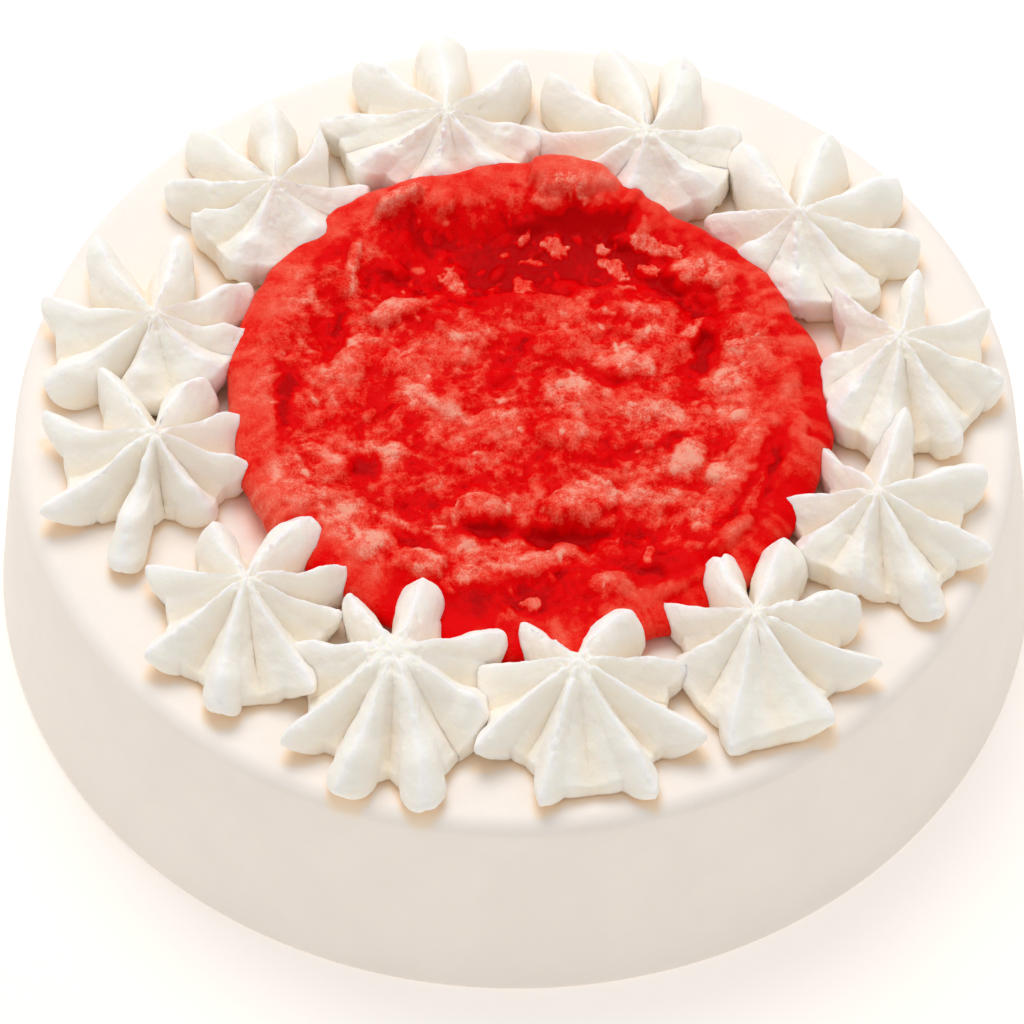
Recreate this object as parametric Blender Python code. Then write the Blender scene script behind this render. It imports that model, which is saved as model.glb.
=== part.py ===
"""Whole strawberry cake: a low round cake under smooth white cream, with a ring of
twelve piped cream rosettes round a pool of strawberry compote.

Metres, +Z up. The origin is the centre of the underside, and the front of the cake,
the side that is seen nearest, faces -Y. Bearings are in degrees, anticlockwise from +X.
"""

import math
import random

import bmesh
import bpy
from mathutils import Matrix, Vector, noise

MM = 0.001

# The cake under its coat of cream: a drum that widens a little towards the base.
TOP_RADIUS = 75 * MM
BASE_RADIUS = 79 * MM
CAKE_HEIGHT = 36 * MM
EDGE_ROUND = 3.5 * MM
FOOT_ROUND = 1.2 * MM
CAKE_SIDES = 80
EDGE_STEPS = 3

# What lies on the cake keeps this much air under it and beside its neighbours.
GAP = 0.3 * MM

# A rosette is piped through a star tip with eight teeth, so it has eight arms.
ARMS = 8
ROSETTE_HEIGHT = 12.4 * MM
NUB_DISTANCE = 1.9 * MM
NUB_DIP = 1.7 * MM
ARM_TIP_HEIGHT = 6.3 * MM
TIP_ROUND = 1.9 * MM
TIP_SPREAD = 0.25
LIFT_SPREAD = 0.7 * MM
ROOT_FOLLOWS_TIP = 0.45
LEAN_POWER = 1.4
ROSETTE_SEED = 40

# The valleys between the arms, and powers that shape the surface: how round an arm is in
# plan, how sharp its crest is near the peak and at the tip, and how crest and valley fall.
VALLEY_SHARE = 0.47
VALLEY_TIP_HEIGHT = 1.8 * MM
VALLEY_ROUND_SHARE = 0.35
ARM_ROUNDNESS = (1.7, 3.2)
OUTLINE_POWER = 0.65
RIDGE_POWERS = (1.3, 0.8)
CREST_FALL = 1.3
VALLEY_FALL = 1.5

# How much further than the gap a rosette's cutter stands out, and how deep it reaches.
CUTTER_GROWTH = 1.4 * GAP
CUTTER_DEPTH = 4 * GAP

# Each rosette: bearing of its centre, distance of its centre from the cake's axis in
# millimetres, then the bearings and the reaches, in millimetres, of its eight arm tips.
# Arms that run under the compote are short, for what it covers can't be seen.
ROSETTES = (
    (102.0, 51.5, (1, 50, 93, 135, 170, 208, 258, 315), (15, 19, 21, 20, 20, 16, 11, 13)),
    (66.5, 50.1, (22, 74, 104, 134, 158, 190, 245, 325), (16, 21, 23, 22, 21, 15, 11, 13)),
    (35.0, 52.2, (37, 74, 114, 160, 200, 268, 320, 358), (20, 20, 20, 15, 12, 13, 16, 19)),
    (5.5, 57.4, (34, 76, 126, 178, 225, 262, 298, 348), (17, 17, 16, 12, 15, 16, 17, 16)),
    (336.0, 57.6, (30, 76, 119, 165, 207, 254, 298, 340), (19, 20, 17, 14, 13, 12, 18, 18)),
    (306.9, 56.9, (24, 74, 108, 150, 202, 261, 310, 346), (17, 18, 16, 15, 12, 18, 18, 19)),
    (279.2, 55.1, (17, 60, 124, 162, 214, 253, 304, 336), (17, 15, 15, 15, 18, 19, 20, 20)),
    (251.6, 55.4, (29, 76, 114, 158, 214, 248, 283, 334), (18, 18, 17, 16, 19, 20, 21, 15)),
    (225.3, 55.3, (-4, 24, 60, 111, 154, 212, 257, 303), (14, 16, 18, 16, 17, 17, 18, 18)),
    (193.4, 54.6, (33, 66, 118, 157, 210, 256, 310, 357), (15, 16, 18, 19, 19, 19, 12, 14)),
    (169.5, 54.9, (8, 37, 80, 120, 157, 206, 250, 328), (14, 18, 20, 21, 19, 18, 12, 12)),
    (135.7, 51.2, (18, 66, 94, 128, 162, 188, 240, 325), (15, 17, 20, 21, 18, 13, 13, 12)),
)

# Columns between one arm's crest and the next, as shares of the way, and the rows of an
# arm: shares of the way out along its top, then degrees round its blunt end.
COLUMN_SHARES = (0.0, 0.15, 0.36, 0.5, 0.64, 0.85)
TOP_SHARES = (0.0, 0.36, 0.72, 1.0)
END_DEGREES = (25, -30, -90)

# The compote lies inside the ring: highest at the back, where it runs up to the rosettes.
# Its outline is given as distances from its centre in millimetres, evenly spaced from +X.
COMPOTE_CENTRE = Vector((1.8 * MM, 0, 0))
COMPOTE_OUTLINE = (
    45.2, 45.2, 42.8, 44.8, 45.0, 44.7, 45.4, 44.8, 44.6, 45.0, 44.8, 45.8, 47.2, 46.4, 46.6, 45.0
)
COMPOTE_MEAN_RADIUS = 45.2 * MM
COMPOTE_MID_HEIGHT = 5.6 * MM
COMPOTE_BACK_RISE = 2.4 * MM
COMPOTE_RIM_RISE = 1.2 * MM
COMPOTE_RIM_SHARE = 0.84
COMPOTE_RIM_WIDTH = 0.11
COMPOTE_EDGE_ROUND = 3.2 * MM
COMPOTE_EDGE_DEGREES = (50, 5, -60)
COMPOTE_FOOT_SHARE = 0.98
COMPOTE_WAVES = 0.6 * MM
COMPOTE_WAVE_LENGTH = 14 * MM
COMPOTE_SIDES = 48
COMPOTE_SHARES = (0.27, 0.54, 0.79, 1.0)

# A hollow lies behind the middle of the compote, longer from side to side.
HOLLOW_CENTRE = Vector((6 * MM, 24.5 * MM, 0))
HOLLOW_HALF_LENGTH = 20 * MM
HOLLOW_HALF_WIDTH = 5.5 * MM
HOLLOW_DEPTH = 1.9 * MM

# Pieces of strawberry, cut about 1 cm across, that stand out of the compote.
FRUIT_COUNT = 34
FRUIT_SPREAD = 0.84
FRUIT_CORNERS = 11
FRUIT_HALF_LENGTH = (4.8 * MM, 6.6 * MM)
FRUIT_NARROWNESS = (0.6, 0.85)
FRUIT_FLATNESS = (0.45, 0.65)
FRUIT_STAND = (0.9 * MM, 1.9 * MM)
FRUIT_LOWEST = 0.8 * MM
FRUIT_TILT = 0.4
FRUIT_JITTER = 0.3
FRUIT_SEED = 7
GOLDEN_ANGLE = math.pi * (3 - math.sqrt(5))

# Colours and finishes: name, colour, roughness.
CREAM = ("cream", (0.93, 0.89, 0.82, 1.0), 0.5)
PIPED_CREAM = ("piped_cream", (0.95, 0.92, 0.85, 1.0), 0.45)
COMPOTE = ("strawberry_compote", (0.78, 0.01, 0.012, 1.0), 0.2)


def clear_scene():
    for obj in list(bpy.data.objects):
        bpy.data.objects.remove(obj)


def finish_material(finish):
    """The named finish as a material, made once."""
    name, colour, roughness = finish
    material = bpy.data.materials.get(name)
    if material is None:
        material = bpy.data.materials.new(name)
        material.use_nodes = True
        shader = material.node_tree.nodes["Principled BSDF"]
        shader.inputs["Base Color"].default_value = colour
        shader.inputs["Roughness"].default_value = roughness
        shader.inputs["Metallic"].default_value = 0.0
    return material


def add_object(name, form, finish, crease_degrees=35):
    """Turns a bmesh into a smooth-shaded object with its finish."""
    mesh = bpy.data.meshes.new(name)
    form.to_mesh(mesh)
    form.free()
    mesh.materials.append(finish_material(finish))
    mesh.shade_smooth()
    mesh.set_sharp_from_angle(angle=math.radians(crease_degrees))
    obj = bpy.data.objects.new(name, mesh)
    bpy.context.collection.objects.link(obj)
    return obj


def ring_surface(rings, peak):
    """A closed bmesh from rings of points, first to last, under one peak point.

    The last ring is closed with a flat underside."""
    form = bmesh.new()
    top = form.verts.new(peak)
    rows = [[form.verts.new(point) for point in ring] for ring in rings]
    count = len(rows[0])
    for i in range(count):
        following = (i + 1) % count
        form.faces.new((top, rows[0][i], rows[0][following]))
        for upper, lower in zip(rows, rows[1:]):
            form.faces.new((upper[i], lower[i], lower[following], upper[following]))
    form.faces.new(tuple(reversed(rows[-1])))
    form.normal_update()
    return form


# --- The cake -----------------------------------------------------------------------


def quarter_round(radius, height, rounding, start, stop, steps):
    """Profile points (radius, height) along an arc round a corner, from angle to angle."""
    angles = [start + (stop - start) * i / steps for i in range(steps + 1)]
    return [
        (radius + rounding * math.cos(a), height + rounding * math.sin(a)) for a in angles
    ]


def cake_profile():
    """The cake's outline from the rim of its top down to its underside."""
    side_slope = math.atan2(BASE_RADIUS - TOP_RADIUS, CAKE_HEIGHT)
    rim = quarter_round(
        TOP_RADIUS - EDGE_ROUND, CAKE_HEIGHT - EDGE_ROUND, EDGE_ROUND,
        math.pi / 2, side_slope, EDGE_STEPS,
    )
    foot = quarter_round(
        BASE_RADIUS - FOOT_ROUND, FOOT_ROUND, FOOT_ROUND, side_slope, -math.pi / 2, 2
    )
    return rim + foot


def make_cake():
    """The cream-covered cake, turned about its axis and solid all through."""
    turns = [2 * math.pi * i / CAKE_SIDES for i in range(CAKE_SIDES)]
    rings = [
        [(radius * math.cos(a), radius * math.sin(a), height) for a in turns]
        for radius, height in cake_profile()
    ]
    return add_object("cake", ring_surface(rings, (0, 0, CAKE_HEIGHT)), CREAM)


# --- The piped rosettes --------------------------------------------------------------


class Arm:
    """One arm of a rosette, with the small differences that piping leaves."""

    def __init__(self, root_bearing, tip_bearing, reach, chance):
        self.root = root_bearing
        self.lean = tip_bearing - root_bearing
        self.reach = reach * MM
        self.tip_height = ARM_TIP_HEIGHT * (1 + chance.uniform(-TIP_SPREAD, TIP_SPREAD))
        self.lift = chance.uniform(-LIFT_SPREAD, LIFT_SPREAD)
        self.roundness = chance.uniform(*ARM_ROUNDNESS)


def rosette_arms(number):
    """The eight arms of one rosette, from roots nearly evenly spaced to their tips."""
    _, _, tips, reaches = ROSETTES[number - 1]
    step = 360 / ARMS
    turn = sum(tip - step * i for i, tip in enumerate(tips)) / ARMS
    chance = random.Random(ROSETTE_SEED + number)
    arms = []
    for i, (tip, reach) in enumerate(zip(tips, reaches)):
        even = turn + step * i
        arms.append(Arm(even + ROOT_FOLLOWS_TIP * (tip - even), tip, reach, chance))
    return arms


def mix(start, stop, share):
    return start + (stop - start) * share


def arm_column(arm, offset, valley_reach):
    """Points (distance, height) down a rosette at one offset, 0 on a crest, 1 in a valley."""
    outline = max(0.0, 1 - offset**arm.roundness) ** OUTLINE_POWER
    reach = mix(valley_reach, arm.reach, outline)
    tip_height = mix(arm.tip_height, VALLEY_TIP_HEIGHT, offset)
    end = TIP_ROUND * mix(1, VALLEY_ROUND_SHARE, offset)
    near = ROSETTE_HEIGHT - NUB_DIP * offset
    points = []
    for share in TOP_SHARES:
        ridge = (1 - offset) ** mix(*RIDGE_POWERS, share)
        fall = mix((1 - share) ** VALLEY_FALL, 1 - share**CREST_FALL, ridge)
        lift = 4 * share * (1 - share) * arm.lift * ridge
        distance = mix(NUB_DISTANCE, reach - end, share)
        points.append((distance, mix(tip_height, near, fall) + lift))
    for degrees in END_DEGREES:
        angle = math.radians(degrees)
        distance = reach - end + end * math.cos(angle)
        points.append((distance, tip_height * (0.5 + 0.5 * math.sin(angle))))
    return points


def rosette_rings(arms):
    """Rings of points round a rosette, from near its peak down to its foot."""
    columns = []
    for i, arm in enumerate(arms):
        following = arms[(i + 1) % ARMS]
        gap = (following.root - arm.root) % 360
        valley_reach = VALLEY_SHARE * (arm.reach + following.reach) / 2
        for share in COLUMN_SHARES:
            near = arm if share <= 0.5 else following
            offset = 2 * min(share, 1 - share)
            points = arm_column(near, offset, valley_reach)
            lean = mix(arm.lean, following.lean, share)
            columns.append((arm.root + share * gap, lean, near.reach, points))
    rings = []
    for row in range(len(TOP_SHARES) + len(END_DEGREES)):
        ring = []
        for root, lean, reach, points in columns:
            distance, height = points[row]
            angle = math.radians(root + lean * (distance / reach) ** LEAN_POWER)
            ring.append((distance * math.cos(angle), distance * math.sin(angle), height))
        rings.append(ring)
    return rings


def rosette_place(number):
    bearing, distance, _, _ = ROSETTES[number - 1]
    angle = math.radians(bearing)
    return Vector(
        (distance * MM * math.cos(angle), distance * MM * math.sin(angle), CAKE_HEIGHT + GAP)
    )


def make_rosette(number):
    form = ring_surface(rosette_rings(rosette_arms(number)), (0, 0, ROSETTE_HEIGHT))
    rosette = add_object(f"rosette_{number:02d}", form, PIPED_CREAM)
    rosette.location = rosette_place(number)
    return rosette


def make_rosette_cutter(number):
    """The same rosette, fatter by the gap and deeper, to clear a neighbour away from it."""
    form = ring_surface(rosette_rings(rosette_arms(number)), (0, 0, ROSETTE_HEIGHT))
    for vert in form.verts:
        vert.co += vert.normal * CUTTER_GROWTH
        if vert.co.z < GAP:
            vert.co.z = -CUTTER_DEPTH
    cutter = add_object(f"rosette_cutter_{number:02d}", form, PIPED_CREAM)
    cutter.location = rosette_place(number)
    cutter.hide_render = True
    cutter.display_type = "WIRE"
    return cutter


# --- The compote ---------------------------------------------------------------------


def compote_edge(angle):
    """Distance from the compote's centre to its edge, smoothly between the given ones."""
    place = (angle % math.tau) / math.tau * len(COMPOTE_OUTLINE)
    index = int(place)
    share = place - index
    near = COMPOTE_OUTLINE[index % len(COMPOTE_OUTLINE)]
    far = COMPOTE_OUTLINE[(index + 1) % len(COMPOTE_OUTLINE)]
    return mix(near, far, share * share * (3 - 2 * share)) * MM


def compote_height(x, y):
    """Height of the compote over the cake, before its edge rolls off."""
    back = y / COMPOTE_MEAN_RADIUS
    share = math.hypot(x, y) / COMPOTE_MEAN_RADIUS
    rim = COMPOTE_RIM_RISE * math.exp(-(((share - COMPOTE_RIM_SHARE) / COMPOTE_RIM_WIDTH) ** 2))
    waves = COMPOTE_WAVES * noise.noise(Vector((x, y, 0)) / COMPOTE_WAVE_LENGTH)
    along = (x - HOLLOW_CENTRE.x) / HOLLOW_HALF_LENGTH
    across = (y - HOLLOW_CENTRE.y) / HOLLOW_HALF_WIDTH
    hollow = HOLLOW_DEPTH * math.exp(-(along**4) - across**2)
    return COMPOTE_MID_HEIGHT + COMPOTE_BACK_RISE * back * abs(back) + rim + waves - hollow


def make_compote_core():
    turns = [2 * math.pi * i / COMPOTE_SIDES for i in range(COMPOTE_SIDES)]
    rings = []
    for share in COMPOTE_SHARES:
        ring = []
        for angle in turns:
            distance = (compote_edge(angle) - COMPOTE_EDGE_ROUND) * share
            x, y = distance * math.cos(angle), distance * math.sin(angle)
            ring.append((x, y, compote_height(x, y)))
        rings.append(ring)
    brink = rings[-1]
    for degrees in COMPOTE_EDGE_DEGREES:
        tilt = math.radians(degrees)
        inset = COMPOTE_EDGE_ROUND * (1 - math.cos(tilt))
        ring = []
        for angle, (_, _, height) in zip(turns, brink):
            distance = compote_edge(angle) - inset
            level = 0.5 * height * (1 + math.sin(tilt))
            ring.append((distance * math.cos(angle), distance * math.sin(angle), level))
        rings.append(ring)
    inner = COMPOTE_FOOT_SHARE
    rings.append([(x * inner, y * inner, 0.0) for x, y, _ in rings[-1]])
    peak = (0, 0, compote_height(0, 0))
    return add_object("strawberry_compote", ring_surface(rings, peak), COMPOTE)


def fruit_form(chance):
    """One cut piece of strawberry: a lump with few flat sides, laid at any angle."""
    form = bmesh.new()
    for i in range(FRUIT_CORNERS):
        level = 1 - 2 * (i + 0.5) / FRUIT_CORNERS
        across = math.sqrt(1 - level * level)
        turn = i * GOLDEN_ANGLE + chance.uniform(-FRUIT_JITTER, FRUIT_JITTER)
        form.verts.new((across * math.cos(turn), across * math.sin(turn), level))
    bmesh.ops.convex_hull(form, input=form.verts)
    long_way = chance.uniform(*FRUIT_HALF_LENGTH)
    wide_way = long_way * chance.uniform(*FRUIT_NARROWNESS)
    high_way = long_way * chance.uniform(*FRUIT_FLATNESS)
    shape = Matrix.Diagonal((long_way, wide_way, high_way, 1.0))
    tipped = Matrix.Rotation(chance.uniform(-FRUIT_TILT, FRUIT_TILT), 4, "X")
    turned = Matrix.Rotation(chance.uniform(0, math.tau), 4, "Z")
    bmesh.ops.transform(form, matrix=turned @ tipped @ shape, verts=form.verts)
    return form


def make_fruit_pieces():
    """Pieces of fruit spread over the compote, each sunk until only its top stands out."""
    chance = random.Random(FRUIT_SEED)
    pieces = bpy.data.collections.new("fruit_pieces")
    bpy.context.scene.collection.children.link(pieces)
    for i in range(FRUIT_COUNT):
        distance = COMPOTE_MEAN_RADIUS * FRUIT_SPREAD * math.sqrt((i + 0.5) / FRUIT_COUNT)
        angle = i * GOLDEN_ANGLE + chance.uniform(-FRUIT_JITTER, FRUIT_JITTER) / 2
        x, y = distance * math.cos(angle), distance * math.sin(angle)
        form = fruit_form(chance)
        top = max(vert.co.z for vert in form.verts)
        rise = compote_height(x, y) + chance.uniform(*FRUIT_STAND) - top
        for vert in form.verts:
            vert.co += Vector((x, y, rise))
            vert.co.z = max(vert.co.z, FRUIT_LOWEST)
        piece = add_object(f"fruit_piece_{i:02d}", form, COMPOTE)
        bpy.context.collection.objects.unlink(piece)
        pieces.objects.link(piece)
    return pieces


def make_compote(cutters):
    """Core and fruit fused to one solid, then cleared away from every rosette."""
    compote = make_compote_core()
    pieces = make_fruit_pieces()
    fuse = compote.modifiers.new("fuse", "BOOLEAN")
    fuse.operation = "UNION"
    fuse.operand_type = "COLLECTION"
    fuse.collection = pieces
    fuse.solver = "MANIFOLD"
    apply_modifiers(compote)
    for piece in list(pieces.objects):
        bpy.data.objects.remove(piece)
    bpy.data.collections.remove(pieces)
    compote.location = COMPOTE_CENTRE + Vector((0, 0, CAKE_HEIGHT + GAP))
    for cutter in cutters:
        cut_away(compote, cutter, solver="MANIFOLD")
    return compote


# --- Joining and clearing ------------------------------------------------------------


def apply_modifiers(obj):
    """Replaces the object's mesh with its evaluated mesh."""
    bpy.context.view_layer.update()
    graph = bpy.context.evaluated_depsgraph_get()
    mesh = bpy.data.meshes.new_from_object(obj.evaluated_get(graph))
    obj.modifiers.clear()
    obj.data = mesh


def keep_largest_piece(obj):
    """Drops the loose scraps that clearing a neighbour away can leave."""
    form = bmesh.new()
    form.from_mesh(obj.data)
    unseen = set(form.verts)
    groups = []
    while unseen:
        group, queue = set(), [unseen.pop()]
        while queue:
            vert = queue.pop()
            group.add(vert)
            for edge in vert.link_edges:
                other = edge.other_vert(vert)
                if other in unseen:
                    unseen.remove(other)
                    queue.append(other)
        groups.append(group)
    largest = max(groups, key=len)
    scraps = [vert for group in groups if group is not largest for vert in group]
    bmesh.ops.delete(form, geom=scraps, context="VERTS")
    form.to_mesh(obj.data)
    form.free()


def cut_away(obj, cutter, solver="EXACT"):
    cut = obj.modifiers.new("clear", "BOOLEAN")
    cut.operation = "DIFFERENCE"
    cut.object = cutter
    cut.solver = solver
    apply_modifiers(obj)
    keep_largest_piece(obj)


def clear_neighbours(rosettes, cutters):
    """Where two rosettes meet, the one further back gives way to the one in front of it."""
    count = len(rosettes)
    for i in range(count):
        following = (i + 1) % count
        if rosettes[i].location.y > rosettes[following].location.y:
            cut_away(rosettes[i], cutters[following])
        else:
            cut_away(rosettes[following], cutters[i])


def main():
    clear_scene()
    make_cake()
    numbers = range(1, len(ROSETTES) + 1)
    rosettes = [make_rosette(number) for number in numbers]
    cutters = [make_rosette_cutter(number) for number in numbers]
    clear_neighbours(rosettes, cutters)
    make_compote(cutters)
    for cutter in cutters:
        bpy.data.objects.remove(cutter)


main()
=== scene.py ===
"""The looks of a whole strawberry cake: a low round cake under smooth white cream, with a
ring of twelve piped cream rosettes round a pool of strawberry compote.

Metres, +Z up. The front of the cake, the side that is seen nearest, faces -Y. Bearings are
in degrees, anticlockwise from +X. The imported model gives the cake's own sizes.
"""

import math
import random
from collections import namedtuple

import bpy
import numpy as np
from bpy.props import FloatProperty, FloatVectorProperty, PointerProperty
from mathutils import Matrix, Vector, noise


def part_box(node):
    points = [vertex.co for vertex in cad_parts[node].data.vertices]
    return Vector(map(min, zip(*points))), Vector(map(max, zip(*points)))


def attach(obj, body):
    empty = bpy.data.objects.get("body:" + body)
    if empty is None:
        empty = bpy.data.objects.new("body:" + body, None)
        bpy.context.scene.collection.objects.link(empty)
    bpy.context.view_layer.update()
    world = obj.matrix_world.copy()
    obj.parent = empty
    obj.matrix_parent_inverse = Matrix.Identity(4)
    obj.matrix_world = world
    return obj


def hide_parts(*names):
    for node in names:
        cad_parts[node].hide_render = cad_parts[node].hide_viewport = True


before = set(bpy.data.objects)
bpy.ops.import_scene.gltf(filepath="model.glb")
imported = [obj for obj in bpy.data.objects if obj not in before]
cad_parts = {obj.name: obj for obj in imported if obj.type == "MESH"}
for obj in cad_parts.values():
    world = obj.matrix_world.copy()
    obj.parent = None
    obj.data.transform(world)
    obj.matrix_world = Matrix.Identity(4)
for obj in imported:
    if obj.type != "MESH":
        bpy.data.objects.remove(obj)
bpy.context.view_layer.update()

bl_info = {
    "name": "Strawberry cake",
    "version": (1, 0, 0),
    "blender": (4, 5, 0),
    "location": "3D View > Sidebar > Cake",
    "description": "A cream cake with piped rosettes and strawberry compote",
    "category": "Add Mesh",
}

MM = 0.001
BODY = "root"

# The cake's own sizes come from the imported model.
CAKE_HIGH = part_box("cake")[1]
BASE_RADIUS = CAKE_HIGH.x
CAKE_HEIGHT = CAKE_HIGH.z
TOP_RADIUS = BASE_RADIUS - 4 * MM

# The coat of cream: how finely it is turned, how long its waves and strokes are, and how far
# above its foot they set in.
COAT_SIDES = 640
COAT_INNER_ROWS = 9
COAT_INNER_RADIUS = 36 * MM
COAT_TOP_ROWS = 56
COAT_RIM_ROWS = 12
COAT_SIDE_ROWS = 26
COAT_FOOT_ROWS = 8
COAT_WAVE_LENGTH = 26 * MM
COAT_STROKE_LENGTH = Vector((30 * MM, 30 * MM, 5 * MM))
COAT_EVEN_FOOT = 4 * MM

# A rosette is piped through a star tip with eight teeth, so it has eight arms. Its height
# leaves room for what is torn up at its nub, and its foot sinks a little into the coat.
ARMS = 8
TORN_ROOM = 0.3 * MM
ROSETTE_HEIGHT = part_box("rosette_01")[1].z - CAKE_HEIGHT - TORN_ROOM
ROSETTE_SINK = 0.1 * MM
ROSETTE_EVEN_FOOT = 1.5 * MM
NUB_DIP = 0.6 * MM
NUB_STEP = 0.3 * MM
ROOT_FOLLOWS_TIP = 0.45
LEAN_POWER = 1.4
ROSETTE_SEED = 40

# The cream between the arms: how high it hangs at its edge, and how high where it runs nearly
# as far out as the arms, which sets in between two shares of their reach. Then how far an
# arm's end reaches past it at least, and powers that shape the surface: a hollow or a full
# flank, and how crest and valley fall. Last, how steeply a valley runs into its lip, in
# degrees.
WEB_HEIGHT = 2.5 * MM
HIGH_WEB_HEIGHT = 5.2 * MM
WEB_RAISE_SHARES = (0.82, 0.9)
WEB_ROUND_SHARE = 0.55
WEB_SPREAD = 0.03
NECK_GAP = 0.6 * MM
WALL_POWER = 1.1
HOLLOW_POWER = 1.15
FULL_POWER = 1.7
NUB_BLUNT = 0.3
CREST_FALL = 1.25
VALLEY_FALL = 1.55
VALLEY_BROW = 65

# Along an arm, in shares of its length: how wide its hump and its sag are, how far the sag
# lies before the hump, and how much of its end is drawn up. Across it, in shares of the way
# to the valley: how wide its ragged crest and its split are, and the least and the most that
# it fills. And how often it wanders from side to side.
HUMP_WIDTH = 0.15
SAG_WIDTH = 0.18
SAG_BEFORE_HUMP = 0.3
HOOK_SHARE = 0.3
CREST_WIDTH = 0.16
SPLIT_WIDTH = 0.12
ARM_SHARES = (0.25, 0.9)
WANDER_TURNS = 0.8

# Points from one crest to the next valley, and rows over the nub, along the top and under
# the lip of the arms.
HALF_COLUMNS = 22
COLUMN_EASE = 0.3
NUB_SHARES = (0.12, 0.25, 0.38, 0.5, 0.62, 0.75, 0.88)
TOP_ROWS = 46
LIP_SHARES = (0.12, 0.25, 0.38, 0.51, 0.64, 0.76, 0.88, 1.0)
LIP_LAST_DEGREES = -60
UNDER_SHARES = (0.25, 0.5, 0.75, 1.0)

# The forms that an arm takes. Lengths in millimetres: the height of its tip, how thick its
# lip is and how far it is rounded, how far its underside stands back, a hump before the tip,
# a sag half way, how far the tip is drawn up, how deep it is split, half its width, and how
# long its end is. Plan is a power, high for a round end and low for a pointed one. Blunt is
# how wide the crest is at the tip, full is 0 for hollow flanks and 1 for bulging ones, and
# brow is how steeply the top runs into the lip, in degrees from upright.
ArmForm = namedtuple(
    "ArmForm", "tip thick lip under hump sag hook split width length plan blunt full brow"
)
ARM_FORMS = {
    "p": ArmForm(5.0, 2.2, 0.9, 6.0, 0.0, 0.5, 0.5, 0.0, 3.0, 8.0, 1.25, 0.04, 0.0, 65),
    "t": ArmForm(4.2, 3.4, 2.0, 2.6, 1.1, 0.3, 0.0, 0.0, 3.4, 5.4, 1.9, 0.15, 0.35, 42),
    "k": ArmForm(4.2, 3.8, 2.4, 3.2, 2.2, 1.2, 0.0, 0.0, 2.6, 9.0, 2.5, 0.22, 0.6, 35),
    "b": ArmForm(7.0, 5.4, 2.0, 1.6, 0.9, 0.2, 0.2, 0.0, 4.0, 5.0, 2.4, 0.50, 1.0, 45),
    "l": ArmForm(6.6, 5.0, 1.2, 1.8, 0.9, 0.5, 0.2, 0.0, 3.6, 5.5, 1.9, 0.08, 0.25, 60),
    "d": ArmForm(7.2, 5.6, 0.9, 1.6, 0.2, 0.3, 0.6, 0.0, 2.7, 5.5, 1.45, 0.06, 0.0, 65),
    "s": ArmForm(7.0, 5.4, 1.6, 1.6, 0.8, 0.3, 0.0, 1.3, 4.2, 4.5, 2.6, 0.30, 0.5, 50),
    "f": ArmForm(6.0, 4.6, 0.8, 2.0, 0.9, 0.7, 0.0, 0.0, 2.9, 4.5, 1.6, 0.05, 0.0, 65),
    "h": ArmForm(5.8, 2.6, 0.9, 4.0, 0.0, 1.2, 1.8, 0.0, 2.9, 6.5, 1.35, 0.05, 0.0, 65),
    "e": ArmForm(3.8, 2.8, 0.9, 3.0, 0.5, 0.3, 0.3, 0.0, 2.8, 5.0, 1.2, 0.05, 0.0, 62),
}
PURE_NUMBERS = ("plan", "blunt", "full", "brow")

# What piping varies from arm to arm, in the order in which it is drawn. A measure of the form
# is multiplied, and the others are the arm's own: where its hump lies, how crumbly it is, how
# its crest leans, how far it wanders to the side, and from where.
ARM_DRAWS = (
    ("tip", 0.86, 1.14), ("hump", 0.6, 1.3), ("hump_place", 0.72, 0.84), ("sag", 0.5, 1.4),
    ("plan", 0.92, 1.12), ("width", 0.9, 1.15), ("length", 0.85, 1.15), ("crumbs", 0.2, 1.4),
    ("skew", -0.28, 0.28), ("wander", -0.9 * MM, 0.9 * MM), ("phase", 0, 1),
)

# Layers of unevenness in the piped cream, each with its share, spacing and seed.
PIPED_WAVES = ((1, 5.5 * MM, 0), (0.4, 2.0 * MM, 0.3), (0.22, 0.9 * MM, 0.8))
CREST_WAVES = ((1, 1.1 * MM, 0.5), (0.6, 0.5 * MM, 0.6))
TIP_LINES = ((1, 1, 0), (0.5, 0.4, 0))
TORN_NUB = ((1, 1.3 * MM, 0.7), (0.6, 0.6 * MM, 0.9))

# How far past the nub it is torn, and the most that is torn up. Then how far apart ragged
# stretches, patches of crumbs and single crumbs lie, and how many small pits there are and
# how wide.
TORN_REACH = 1.8 * MM
TORN_LIMIT = 0.35
RAGGED_SPACING = 4.5 * MM
CRUMB_PATCH_SPACING = 3.5 * MM
CRUMB_SPACING = 0.8 * MM
PITS = 4
PIT_RADIUS = 0.45 * MM

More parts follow.
